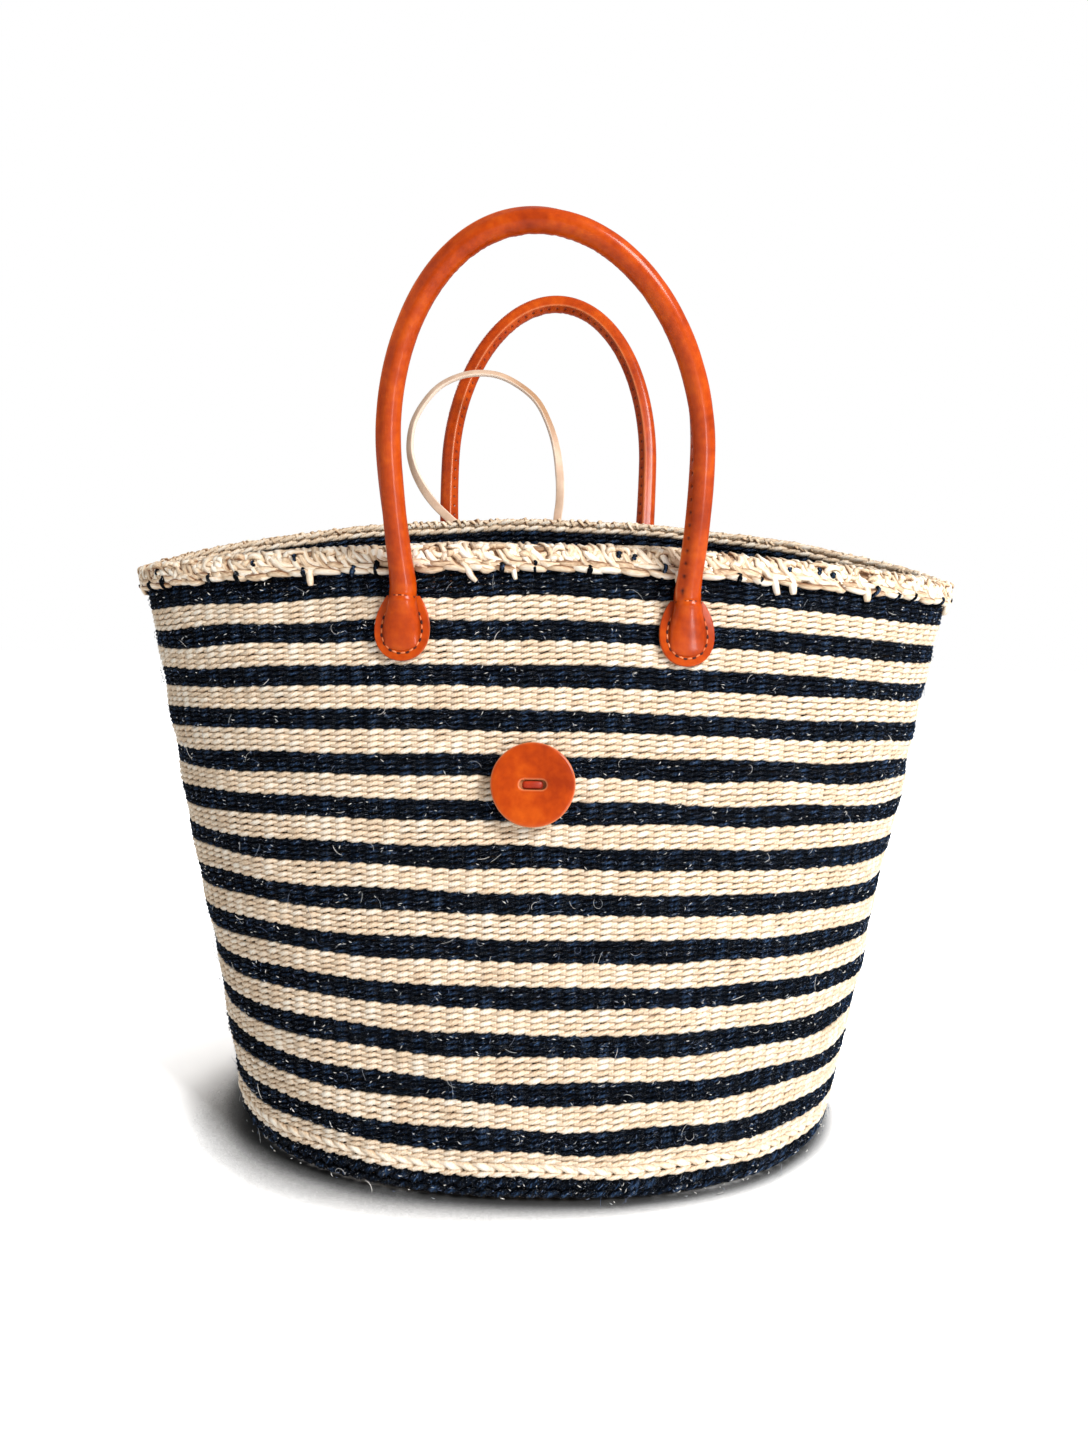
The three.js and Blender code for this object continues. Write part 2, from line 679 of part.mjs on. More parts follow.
/** Tool for the hole that one leg of the thong passes through, on a side of the button. */
function legHoleTool(way) {
  const tool = new THREE.BoxGeometry(
    THONG_THICKNESS + 2 * THONG_CLEARANCE,
    2 * (THONG_HALF_WIDTH + THONG_CLEARANCE),
    BUTTON_BACK_LEATHER + 2 * CUT_OVERRUN,
  );
  const x = way * (THONG_HALF_SPAN - THONG_THICKNESS / 2);
  tool.translate(x, 0, buttonBackLow + BUTTON_BACK_LEATHER / 2);
  return tool;
}

/** Thong: a band round the button's web, with a shank through the wall and a knot inside. */
function thongGeometry() {
  const bandTop = buttonTop - THONG_RECESS;
  const bandLow = SEAT_OFFSET + THONG_CLEARANCE;
  const inner = THONG_HALF_SPAN - THONG_THICKNESS;
  const outline = new THREE.Shape();
  outline.moveTo(-THONG_HALF_SPAN, bandLow);
  outline.lineTo(THONG_HALF_SPAN, bandLow);
  outline.lineTo(THONG_HALF_SPAN, bandTop);
  outline.lineTo(-THONG_HALF_SPAN, bandTop);
  outline.closePath();
  const hole = new THREE.Path();
  const holeLow = bandLow + THONG_THICKNESS;
  const holeTop = bandTop - THONG_THICKNESS;
  hole.moveTo(-inner, holeLow);
  hole.lineTo(-inner, holeTop);
  hole.lineTo(inner, holeTop);
  hole.lineTo(inner, holeLow);
  hole.closePath();
  outline.holes.push(hole);
  const band = new THREE.ExtrudeGeometry(outline, {
    depth: 2 * THONG_HALF_WIDTH,
    bevelEnabled: false,
  });
  band.rotateX(Math.PI / 2);
  band.translate(0, THONG_HALF_WIDTH, 0);
  const knotCentre = innerFace - WASHER_LEATHER - SEAT_GAP - KNOT_FLATNESS_SHARE * KNOT_RADIUS;
  const shank = roundBar(SHANK_RADIUS, knotCentre, bandLow + THONG_THICKNESS / 2, SHANK_SIDES);
  return joined(band, shank, knotBall(KNOT_RADIUS, knotCentre));
}

addPiece(
  buttonSeat,
  'button_back_disc',
  buttonDisc(buttonBackLow, BUTTON_BACK_LEATHER, [legHoleTool(-1), legHoleTool(1)]),
  LEATHER_BACK,
);
addPiece(
  buttonSeat,
  'button_face_disc',
  buttonDisc(buttonFaceLow, BUTTON_FACE_LEATHER, [slotTool()]),
  LEATHER,
);
addPiece(buttonSeat, 'button_thong', thongGeometry(), DARK_THONG);
addPiece(
  buttonSeat,
  'button_washer',
  washer(WASHER_RADIUS, SHANK_RADIUS + HOLE_CLEARANCE, innerFace - WASHER_LEATHER, WASHER_LEATHER),
  LEATHER_BACK,
);

// Closure loop

const rimReach = Math.max(...RIM_OUTER_SHARES.map(([height, proud]) => {
  const share = 1 - ((1 - height) * RIM_BRAID_HEIGHT) / WALL_HEIGHT;
  return planAt(share).halfDepth + proud * RIM_PROUD;
}));
const loopPivot = new THREE.Vector3(
  LOOP_RIGHT_FOOT,
  rimReach + SEAT_GAP + LOOP_THICKNESS / 2,
  rimHeight(0, 1) + LOOP_RISE_OVER_RIM + LOOP_THICKNESS / 2,
);

/** Point of the loop's centreline, measured from its right foot. */
function loopPoint([spanShare, heightShare]) {
  return new THREE.Vector3(-spanShare * LOOP_SPAN, 0, heightShare * LOOP_HEIGHT);
}

/** Ring of the loop's section: half width and half thickness along two directions. */
function strapRing(centre, widthWay, thicknessWay, halfWidth, halfThickness) {
  return [[-1, -1], [1, -1], [1, 1], [-1, 1]].map(([across, through]) => centre
    .clone()
    .addScaledVector(widthWay, across * halfWidth)
    .addScaledVector(thicknessWay, through * halfThickness));
}

/** Level rings that round a foot of the loop about the swing axis, from the tip to the axis. */
function footRings(foot, tangent) {
  const slant = tangent.x / tangent.z;
  const halfWidth = LOOP_WIDTH / 2 / Math.cos(Math.atan(slant));
  const rings = [];
  for (let i = 1; i <= LOOP_ROUND_STEPS; i += 1) {
    const turn = (1 - i / LOOP_ROUND_STEPS) * LOOP_ROUND_TURN;
    const drop = (LOOP_THICKNESS / 2) * Math.sin(turn);
    const centre = new THREE.Vector3(foot.x - slant * drop, 0, foot.z - drop);
    const halfThickness = (LOOP_THICKNESS / 2) * Math.cos(turn);
    rings.push(strapRing(centre, ALONG_X, ALONG_Y, halfWidth, halfThickness));
  }
  return rings;
}

/** Moving part of the loop: a flat thong that twists as it rises, with rounded feet. */
function loopGeometry() {
  const curve = new THREE.CatmullRomCurve3(LOOP_ROUTE_SHARES.map(loopPoint));
  const twists = new THREE.CatmullRomCurve3(
    LOOP_ROUTE_SHARES.map(([, , twistShare]) => new THREE.Vector3(twistShare * LOOP_TWIST, 0, 0)),
  );
  const body = [];
  for (let i = 1; i < LOOP_STEPS; i += 1) {
    const t = i / LOOP_STEPS;
    const centre = curve.getPoint(t);
    const tangent = curve.getTangent(t);
    const inPlane = new THREE.Vector3(tangent.z, 0, -tangent.x);
    const twist = twists.getPoint(t).x;
    const widthWay = inPlane.clone().multiplyScalar(Math.cos(twist));
    widthWay.y -= Math.sin(twist);
    const thicknessWay = inPlane.clone().multiplyScalar(Math.sin(twist));
    thicknessWay.y += Math.cos(twist);
    body.push(strapRing(centre, widthWay, thicknessWay, LOOP_WIDTH / 2, LOOP_THICKNESS / 2));
  }
  const start = footRings(curve.getPoint(0), curve.getTangent(0));
  const end = footRings(curve.getPoint(1), curve.getTangent(1)).reverse();
  const turned = end.map(([a, b, c, d]) => [b, a, d, c]);
  return skinRings([...start, ...body, ...turned], false);
}

/** Strap that lies on the outside of the back wall, from under a foot of the loop to the anchor. */
function tailLeg(footX, shares) {
  const top = loopPivot.z - LOOP_THICKNESS / 2 - SEAT_GAP;
  const route = new THREE.CatmullRomCurve3(shares.map(([across, down]) => new THREE.Vector3(
    THREE.MathUtils.lerp(footX, ANCHOR_OFFSET, across),
    0,
    THREE.MathUtils.lerp(top, anchorHeight, down),
  )));
  const backY = (point) => Math.max(
    loopPivot.y - LOOP_THICKNESS / 2,
    wallAt(point.x, Math.min(point.z, rimHeight(point.x, 1)), 1).y + SEAT_OFFSET,
  );
  const rings = [];
  for (let i = 0; i <= TAIL_STEPS; i += 1) {
    const centre = route.getPoint(i / TAIL_STEPS);
    const tangent = route.getTangent(i / TAIL_STEPS);
    const isEnd = i === 0 || i === TAIL_STEPS;
    const slant = Math.atan(tangent.x / tangent.z);
    const half = isEnd ? LOOP_WIDTH / 2 / Math.cos(slant) : LOOP_WIDTH / 2;
    const way = isEnd ? ALONG_X : new THREE.Vector3(-tangent.z, 0, tangent.x);
    const near = centre.clone().addScaledVector(way, -half);
    const far = centre.clone().addScaledVector(way, half);
    near.y = backY(near);
    far.y = backY(far);
    const thick = new THREE.Vector3(0, LOOP_THICKNESS, 0);
    rings.push([near, far, far.clone().add(thick), near.clone().add(thick)]);
  }
  return skinRings(rings, false);
}

/** Fixed tail of the loop: both straps, the shank through the wall and the knot inside. */
function tailGeometry() {
  const leftFoot = loopPivot.x - LOOP_ROUTE_SHARES.at(-1)[0] * LOOP_SPAN;
  const knotCentre = innerFace - WASHER_LEATHER - SEAT_GAP
    - KNOT_FLATNESS_SHARE * ANCHOR_KNOT_RADIUS;
  const shank = roundBar(
    ANCHOR_SHANK_RADIUS,
    knotCentre,
    SEAT_OFFSET + LOOP_THICKNESS,
    SHANK_SIDES,
  ).applyMatrix4(anchorSeat.matrix);
  const knot = knotBall(ANCHOR_KNOT_RADIUS, knotCentre).applyMatrix4(anchorSeat.matrix);
  return joined(
    tailLeg(loopPivot.x, RIGHT_TAIL_SHARES),
    tailLeg(leftFoot, LEFT_TAIL_SHARES),
    shank,
    knot,
  );
}

const loopSwing = new THREE.Group();
loopSwing.position.copy(loopPivot);
basket.add(loopSwing);
addPiece(loopSwing, 'closure_loop', loopGeometry(), RAW_LEATHER);
addPiece(basket, 'closure_loop_tail', tailGeometry(), RAW_LEATHER);
addPiece(
  anchorSeat,
  'closure_loop_washer',
  washer(
    WASHER_RADIUS,
    ANCHOR_SHANK_RADIUS + HOLE_CLEARANCE,
    innerFace - WASHER_LEATHER,
    WASHER_LEATHER,
  ),
  LEATHER_BACK,
);

export default basket;
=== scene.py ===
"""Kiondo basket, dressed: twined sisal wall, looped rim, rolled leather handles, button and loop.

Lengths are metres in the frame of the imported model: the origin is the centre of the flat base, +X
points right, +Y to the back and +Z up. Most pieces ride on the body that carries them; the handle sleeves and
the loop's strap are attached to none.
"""

import logging
import math
from dataclasses import dataclass
from enum import Enum
from typing import Optional, Sequence

import bmesh
import bpy
import numpy as np
from mathutils import Matrix, Vector


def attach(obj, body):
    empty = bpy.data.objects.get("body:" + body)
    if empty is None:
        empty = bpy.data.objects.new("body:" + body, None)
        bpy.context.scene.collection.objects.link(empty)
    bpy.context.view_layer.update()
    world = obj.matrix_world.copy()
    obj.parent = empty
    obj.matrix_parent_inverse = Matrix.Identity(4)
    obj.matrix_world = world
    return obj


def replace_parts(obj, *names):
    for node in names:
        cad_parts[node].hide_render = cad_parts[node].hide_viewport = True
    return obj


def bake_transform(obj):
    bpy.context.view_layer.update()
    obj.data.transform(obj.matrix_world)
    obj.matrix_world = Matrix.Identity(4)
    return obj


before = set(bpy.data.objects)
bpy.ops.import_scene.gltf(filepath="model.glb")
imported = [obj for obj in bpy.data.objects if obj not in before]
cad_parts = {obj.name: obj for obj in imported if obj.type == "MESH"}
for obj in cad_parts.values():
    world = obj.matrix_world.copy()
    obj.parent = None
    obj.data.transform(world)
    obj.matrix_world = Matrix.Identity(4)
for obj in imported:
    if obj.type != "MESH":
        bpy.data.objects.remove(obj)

log = logging.getLogger("kiondo")
MM = 0.001
TAU = 2.0 * math.pi
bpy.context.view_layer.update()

Array = np.ndarray
BMesh = bmesh.types.BMesh
Material = bpy.types.Material
Piece = bpy.types.Object
Rng = np.random.Generator
Socket = bpy.types.NodeSocket


class Body(str, Enum):
    """Moving bodies of the basket."""

    BASKET = "basket"
    FRONT_HANDLE = "front_handle"
    BACK_HANDLE = "back_handle"
    LOOP = "closure_loop"
    BUTTON = "button"


class Side(Enum):
    """Walls that carry a handle: the value is the sign of y."""

    FRONT = -1
    BACK = 1


# Mesh helpers


def link_piece(name: str, mesh: bpy.types.Mesh, smooth: bool = True) -> Piece:
    """Puts a finished mesh into the scene as an object at the origin.

    Args:
        name: name of the object.
        mesh: mesh whose points are already in place.
        smooth: whether its faces are shaded smooth.

    Returns:
        The new object.
    """
    mesh.name = name
    mesh.polygons.foreach_set("use_smooth", np.full(len(mesh.polygons), smooth))
    piece = bpy.data.objects.new(name, mesh)
    bpy.context.scene.collection.objects.link(piece)
    return piece


def bake_bmesh(name: str, bm: BMesh, smooth: bool = True) -> Piece:
    """Turns a bmesh into a linked object and frees it."""
    mesh = bpy.data.meshes.new(name)
    bm.to_mesh(mesh)
    bm.free()
    return link_piece(name, mesh, smooth)


def dress(
    piece: Piece,
    materials: Sequence[Material],
    body: Optional[Body] = Body.BASKET,
    nodes: Sequence[str] = (),
) -> None:
    """Finishes a piece whose mesh is in place.

    Args:
        piece: piece to finish.
        materials: its materials, in the order of its faces' material indices.
        body: body that it rides on, or None to leave it attached to none.
        nodes: plain nodes that it stands for.
    """
    for material in materials:
        piece.data.materials.append(material)
    if body:
        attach(piece, body.value)
    if nodes:
        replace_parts(piece, *nodes)


def set_attribute(mesh: bpy.types.Mesh, name: str, values: Array) -> None:
    """Writes one number per point under a name that a material can read."""
    layer = mesh.attributes.get(name) or mesh.attributes.new(name, "FLOAT", "POINT")
    layer.data.foreach_set("value", values.astype(np.float32))


def get_attribute(mesh: bpy.types.Mesh, name: str) -> Array:
    """Reads one number per point."""
    values = np.empty(len(mesh.vertices), dtype=np.float32)
    mesh.attributes[name].data.foreach_get("value", values)
    return values


def rolled_sheet(bm: BMesh, rings: Array, values: Optional[dict[str, Array]] = None) -> None:
    """Rolls a flat grid into a tube through rings of points, its seam left for weld() to close.

    Args:
        bm: mesh that takes the tube.
        rings: array of shape (rings, sides, 3), each ring in order round the tube.
        values: numbers for named float layers, of a shape that spreads to (rings, sides).
    """
    count, sides = rings.shape[:2]
    spread = {key: np.broadcast_to(value, (count, sides)) for key, value in (values or {}).items()}
    layers = {key: float_layer(bm, key) for key in spread}
    made = bmesh.ops.create_grid(bm, x_segments=count - 1, y_segments=sides, size=1.0)
    for vert in made["verts"]:
        i = round((vert.co.x + 1.0) / 2.0 * (count - 1))
        j = round((vert.co.y + 1.0) / 2.0 * sides) % sides
        vert.co = Vector(rings[i, j])
        for key, layer in layers.items():
            vert[layer] = float(spread[key][i, j])


def float_layer(bm: BMesh, name: str) -> bmesh.types.BMLayerItem:
    """Float layer of a name on the vertices, made when missing."""
    return bm.verts.layers.float.get(name) or bm.verts.layers.float.new(name)


def weld(bm: BMesh, cap: bool = True, reach: float = 1e-7) -> None:
    """Closes seams and open ends and points all faces outward."""
    bmesh.ops.remove_doubles(bm, verts=bm.verts, dist=reach)
    if cap:
        edges = [edge for edge in bm.edges if edge.is_boundary]
        bmesh.ops.holes_fill(bm, edges=edges, sides=0)
    bmesh.ops.recalc_face_normals(bm, faces=bm.faces)


def even_points(line: Array, count: int) -> Array:
    """Evenly parted points along a polyline, from its first point to its last.

    Args:
        line: points of the polyline, shape (n, dimensions).
        count: number of points wanted.

    Returns:
        Array of shape (count, dimensions).
    """
    steps = np.linalg.norm(np.diff(line, axis=0), axis=1)
    travelled = np.concatenate([[0.0], np.cumsum(steps)])
    marks = np.linspace(0.0, travelled[-1], count)
    return np.stack([np.interp(marks, travelled, axis) for axis in line.T], axis=1)


def smooth_path(points: Sequence[Sequence[float]], count: int) -> Array:
    """Evenly parted points on a Catmull-Rom curve through the given ones.

    Args:
        points: points that the curve passes through.
        count: number of points wanted.

    Returns:
        Array of shape (count, dimensions).
    """
    knots = np.asarray(points, dtype=float)
    padded = np.vstack([2 * knots[0] - knots[1], knots, 2 * knots[-1] - knots[-2]])
    t = np.linspace(0.0, 1.0, 12, endpoint=False)[:, None]
    fine = []
    for p0, p1, p2, p3 in zip(padded, padded[1:], padded[2:], padded[3:]):
        bend = 2 * p0 - 5 * p1 + 4 * p2 - p3
        fine.append(0.5 * (2 * p1 + (p2 - p0) * t + bend * t**2 + (3 * (p1 - p2) + p3 - p0) * t**3))
    fine.append(knots[-1:])
    return even_points(np.vstack(fine), count)


def unit(vectors: Array) -> Array:
    """Vectors scaled to length one."""
    return vectors / np.maximum(np.linalg.norm(vectors, axis=-1, keepdims=True), 1e-12)


def tube_rings(path: Array, wide: Array, thick: Array, up: Array, sides: int) -> Array:
    """Oval rings along a path.

    Args:
        path: centreline, shape (n, 3).
        wide: half size of each ring across the up direction, shape (n,).
        thick: half size of each ring along the up direction, shape (n,).
        up: direction of the thickness at each point, shape (n, 3).
        sides: points in a ring.

    Returns:
        Array of shape (n, sides, 3).
    """
    tangent = unit(np.gradient(path, axis=0))
    across = unit(np.cross(tangent, up))
    lift = np.cross(across, tangent)
    turn = np.linspace(0.0, TAU, sides, endpoint=False)
    ring = (
        across[:, None, :] * (wide[:, None] * np.sin(turn))[..., None]
        + lift[:, None, :] * (thick[:, None] * np.cos(turn))[..., None]
    )
    return path[:, None, :] + ring


class StrandBatch:
    """Many closed tubes with the same rings, copied from one template and bent into place."""

    def __init__(self, steps: int, sides: int) -> None:
        """Rolls the template.

        Args:
            steps: rings of a tube.
            sides: points of a ring.
        """
        path = np.zeros((steps, 3))
        path[:, 0] = np.linspace(0.0, 1.0, steps)
        half = np.full(steps, 0.1)
        rings = tube_rings(path, half, half, np.tile([0.0, 0.0, 1.0], (steps, 1)), sides)
        places = np.arange(steps * sides, dtype=float).reshape(steps, sides)
        bm = bmesh.new()
        rolled_sheet(bm, rings, {"place": places})
        weld(bm)
        self.template = bpy.data.meshes.new("strand_template")
        bm.to_mesh(self.template)
        bm.free()
        self.order = np.rint(get_attribute(self.template, "place")).astype(int)
        self.template.attributes.remove(self.template.attributes["place"])
        self.shape = (steps, sides)
        self.rings: list[Array] = []
        self.values: list[dict[str, Array]] = []

    def add(self, rings: Array, values: Optional[dict[str, Array]] = None) -> None:
        """Takes one more tube.

        Args:
            rings: array of shape (steps, sides, 3).
            values: numbers for named attributes, of a shape that spreads to (steps, sides).
        """
        self.rings.append(rings.reshape(-1, 3)[self.order])
        spread = {key: np.broadcast_to(value, self.shape) for key, value in (values or {}).items()}
        self.values.append({key: value.reshape(-1)[self.order] for key, value in spread.items()})

    def build(self, name: str) -> Piece:
        """Makes one object of all tubes."""
        bm = bmesh.new()
        for _ in self.rings:
            bm.from_mesh(self.template, face_normals=False, vertex_normals=False)
        mesh = bpy.data.meshes.new(name)
        bm.to_mesh(mesh)
        bm.free()
        mesh.vertices.foreach_set("co", np.concatenate(self.rings).astype(np.float32).ravel())
        for key in self.values[0]:
            set_attribute(mesh, key, np.concatenate([value[key] for value in self.values]))
        return link_piece(name, mesh)


# Shape of the wall


@dataclass(frozen=True)
class WallForm:
    """Wall of the basket: nearly round at the foot, long and narrow at the rim."""

    height: float = 303.9 * MM
    rim_half_width: float = 220 * MM
    rim_half_depth: float = 76 * MM
    foot_half_width: float = 160 * MM
    foot_half_depth: float = 136 * MM
    side_belly: float = 1.6 * MM
    front_hollow: float = 1.3 * MM
    back_lead: float = 26 * MM
    end_dip: float = 23 * MM
    squareness: float = 2.3
    saddle_rate: float = 1.6
    thickness: float = 5 * MM
    foot_turn_height: float = 10 * MM
    foot_turn_inset: float = 5.5 * MM

    def plan(self, share: Array) -> tuple[Array, Array]:
        """Half width and half depth of the plan at a share of the height."""
        bow = 4 * share * (1 - share)
        width = self.foot_half_width + (self.rim_half_width - self.foot_half_width) * share
        depth = self.foot_half_depth + (self.rim_half_depth - self.foot_half_depth) * share
        return width + self.side_belly * bow, depth - self.front_hollow * bow

    def level(self, share: Array, angle: Array) -> Array:
        """Height of the wall: its rim is a saddle, higher at the back."""
        lead = 0.5 * self.back_lead * np.sin(angle) * share
        saddle = -0.5 * self.end_dip * np.cos(2 * angle) * np.abs(share) ** self.saddle_rate
        return self.height * share + lead + saddle

    def outward(self, share: Array, angle: Array) -> Array:
        """Level unit normal of the outer face."""
        width, depth = self.plan(share)
        c, s = np.cos(angle), np.sin(angle)
        n = self.squareness
        reach = (np.abs(c) ** n + np.abs(s) ** n) ** (-1 / n)
        nx = np.sign(c) * np.abs(c * reach) ** (n - 1) / width
        ny = np.sign(s) * np.abs(s * reach) ** (n - 1) / depth
        return unit(np.stack([nx, ny, np.zeros_like(nx)], axis=-1))

    def point(self, share: Array, angle: Array, inset: Array) -> Array:
        """Points of the wall, moved level towards the inside by an inset.

        Args:
            share: shares of the wall's height.
            angle: polar angles in plan.
            inset: distances inward from the outer face.

        Returns:
            Array of points, shape (..., 3).
        """
        share, angle, inset = np.broadcast_arrays(share, angle, inset)
        width, depth = self.plan(share)
        c, s = np.cos(angle), np.sin(angle)
        n = self.squareness
        reach = (np.abs(c) ** n + np.abs(s) ** n) ** (-1 / n)
        face = np.stack([width * c * reach, depth * s * reach, self.level(share, angle)], axis=-1)
        return face - inset[..., None] * self.outward(share, angle)

    def foot_turn(self, height: Array) -> Array:
        """Distance by which the wall turns in under itself at a height near the ground."""
        low = np.clip(1 - height / self.foot_turn_height, 0.0, 1.0)
        return self.foot_turn_inset * low**2

    def rim_level(self, x: float, side: Side) -> float:
        """Height of the rim above an x of the front or back wall."""
        across = (abs(x) / self.rim_half_width) ** self.squareness
        along = side.value * (1 - across) ** (1 / self.squareness)
        angle = math.atan2(along, x / self.rim_half_width)
        return float(self.level(np.float64(1.0), np.float64(angle)))

    def face_y(self, x: float, z: float, side: Side) -> float:
        """Depth of the outer face of the front or back wall at an x and z.

        Args:
            x: place along the wall.
            z: height.
            side: front or back wall.

        Returns:
            The y of the face.
        """
        low, high, y = 0.0, 1.0, 0.0
        for _ in range(40):
            share = (low + high) / 2
            width, depth = self.plan(share)
            across = (abs(x) / width) ** self.squareness
            along = side.value * (1 - across) ** (1 / self.squareness)
            level = float(self.level(np.float64(share), np.float64(math.atan2(along, x / width))))
            y = depth * along
            low, high = (share, high) if level < z else (low, share)
        return y

    def seat(self, x: float, z: float, side: Side) -> Matrix:
        """Frame on the outer face: x along the wall, y up it and z outward.

        Args:
            x: place along the wall.
            z: height.
            side: front or back wall.

        Returns:
            Matrix from the seat's frame to the basket's.
        """
        probe = self.thickness
        slope_x = (self.face_y(x + probe, z, side) - self.face_y(x - probe, z, side)) / (2 * probe)
        slope_z = (self.face_y(x, z + probe, side) - self.face_y(x, z - probe, side)) / (2 * probe)
        out = (Vector((-slope_x, 1.0, -slope_z)) * side.value).normalized()
        along = Vector((0.0, 0.0, 1.0)).cross(out).normalized()
        rise = out.cross(along)
        frame_matrix = Matrix((along, rise, out)).transposed().to_4x4()
        frame_matrix.translation = Vector((x, self.face_y(x, z, side), z))
        return frame_matrix


@dataclass(frozen=True)
class Courses:
    """Heights of the bands, from the foot up."""

    base: float = 12 * MM
    navy: float = 9.8 * MM
    natural: float = 11.5 * MM
    pairs: int = 13
    rim: float = 15 * MM


@dataclass(frozen=True)
class WarpSpread:
    """Places of the warps round the wall: nearly even along it, a little wider apart in front."""

    wall: WallForm
    count: int = 126
    polar_share: float = 0.2
    samples: int = 1440

    def angle(self, turns: Array, share: float) -> Array:
        """Polar angles at shares of a turn round the wall, counted from the middle of the back.

        Args:
            turns: shares of a turn, 0 to 1.
            share: share of the wall's height.

        Returns:
            Angles in radians, from a quarter turn on.
        """
        angles = np.linspace(TAU / 4, TAU * 5 / 4, self.samples + 1)
        flat = self.wall.point(np.float64(share), angles, 0.0)[:, :2]
        steps = np.linalg.norm(np.diff(flat, axis=0), axis=1)
        weights = (1 - self.polar_share) * steps / steps.mean() + self.polar_share
        travelled = np.concatenate([[0.0], np.cumsum(weights)])
        return np.interp(turns % 1.0, travelled / travelled[-1], angles)


class Wander:
    """Slow unevenness of handwork: a few seeded waves round the wall and up it."""

    def __init__(self, seed: int, size: float, waves: int = 9) -> None:
        """Draws the waves.

        Args:
            seed: seed of the draw.
            size: typical offset in metres.
            waves: number of waves.
        """
        rng = np.random.default_rng(seed)
        self.round_rate = rng.integers(2, 17, waves)
        self.rise_rate = rng.uniform(4.0, 34.0, waves)
        self.phase = rng.uniform(0.0, TAU, waves)
        self.size = size * rng.uniform(0.5, 1.0, waves) / math.sqrt(waves)

    def at(self, turns: Array, height: Array) -> Array:
        """Offsets at shares of a turn and heights."""
        phase = (
            TAU * turns[..., None] * self.round_rate
            + height[..., None] * self.rise_rate * TAU
            + self.phase
        )
        return (np.sin(phase) * self.size).sum(axis=-1)


# Node materials


class NodeSheet:
    """Short hand for building a node material."""

    def __init__(self, name: str, world: Optional[bpy.types.World] = None) -> None:
        """Starts an empty node tree, of a new material where no world is given."""
        self.owner = world or bpy.data.materials.new(name)
        self.owner.use_nodes = True
        self.tree = self.owner.node_tree
        self.tree.nodes.clear()

    def add(self, kind: str, inputs: Optional[dict] = None, **settings: object) -> bpy.types.Node:
        """Adds a node.

        Args:
            kind: node type, such as ShaderNodeMath.
            inputs: values or output sockets for its inputs, by name or index.
            settings: properties of the node.

        Returns:
            The node.
        """
        node = self.tree.nodes.new(kind)
        for key, value in settings.items():
            setattr(node, key, value)
        for key, value in (inputs or {}).items():
            if isinstance(value, Socket):
                self.tree.links.new(value, node.inputs[key])
            else:
                node.inputs[key].default_value = value
        return node

    def math(self, operation: str, first: object, second: object = 0.5) -> Socket:
        """Result of a sum on two numbers or sockets."""
        node = self.add("ShaderNodeMath", {0: first, 1: second}, operation=operation)
        return node.outputs[0]

    def value(self, name: str) -> Socket:
        """Number stored on the mesh under a name."""
        return self.add("ShaderNodeAttribute", attribute_name=name).outputs["Fac"]

    def noise(self, vector: Socket, scale: float, detail: float = 2.0) -> Socket:
        """Noise in the range 0 to 1."""
        node = self.add("ShaderNodeTexNoise", {"Vector": vector, "Scale": scale, "Detail": detail})
        return node.outputs["Fac"]

    def vector(self, x: object, y: object, z: object) -> Socket:
        """Vector of three numbers or sockets."""
        return self.add("ShaderNodeCombineXYZ", {0: x, 1: y, 2: z}).outputs[0]

    def spot(self) -> Socket:
        """Place on the object in its own coordinates."""
        return self.add("ShaderNodeTexCoord").outputs["Object"]

    def mix(self, share: object, first: object, second: object) -> Socket:
        """Mix of two colours."""
        node = self.add("ShaderNodeMix", {0: share, 6: first, 7: second}, data_type="RGBA")
        return node.outputs[2]

    def ramp(self, value: Socket, stops: Sequence[tuple[float, tuple]]) -> Socket:
        """Colour for a number from a row of stops."""
        node = self.add("ShaderNodeValToRGB", {0: value})
        elements = node.color_ramp.elements
        while len(elements) < len(stops):
            elements.new(0.5)
        for element, (place, colour) in zip(elements, stops):
            element.position = place
            element.color = colour
        return node.outputs[0]

    def between(self, value: Socket, low: float, high: float) -> Socket:
        """Number stretched so that low becomes 0 and high becomes 1, clamped."""
        node = self.add("ShaderNodeMapRange", {0: value, 1: low, 2: high}, clamp=True)
        return node.outputs[0]

    def finish(self, surface: dict, bump: Optional[tuple] = None) -> Material:
        """Ends the material with a principled shader.

        Args:
            surface: inputs of the shader.
            bump: height socket and distance in metres, where the surface has relief.

        Returns:
            The material.
        """
        shader = self.add("ShaderNodeBsdfPrincipled", surface)
        if bump:
            height, distance = bump
            relief = self.add("ShaderNodeBump", {"Height": height, "Distance": distance, "Strength": 1.0})
            self.tree.links.new(relief.outputs[0], shader.inputs["Normal"])
        self.add("ShaderNodeOutputMaterial", {0: shader.outputs[0]})
        return self.owner


def tint(red: int, green: int, blue: int) -> tuple[float, float, float, float]:
    """Linear colour of a screen colour, with full alpha."""
    shares = [level / 255 for level in (red, green, blue)]
    return (*(s / 12.92 if s <= 0.04045 else ((s + 0.055) / 1.055) ** 2.4 for s in shares), 1.0)


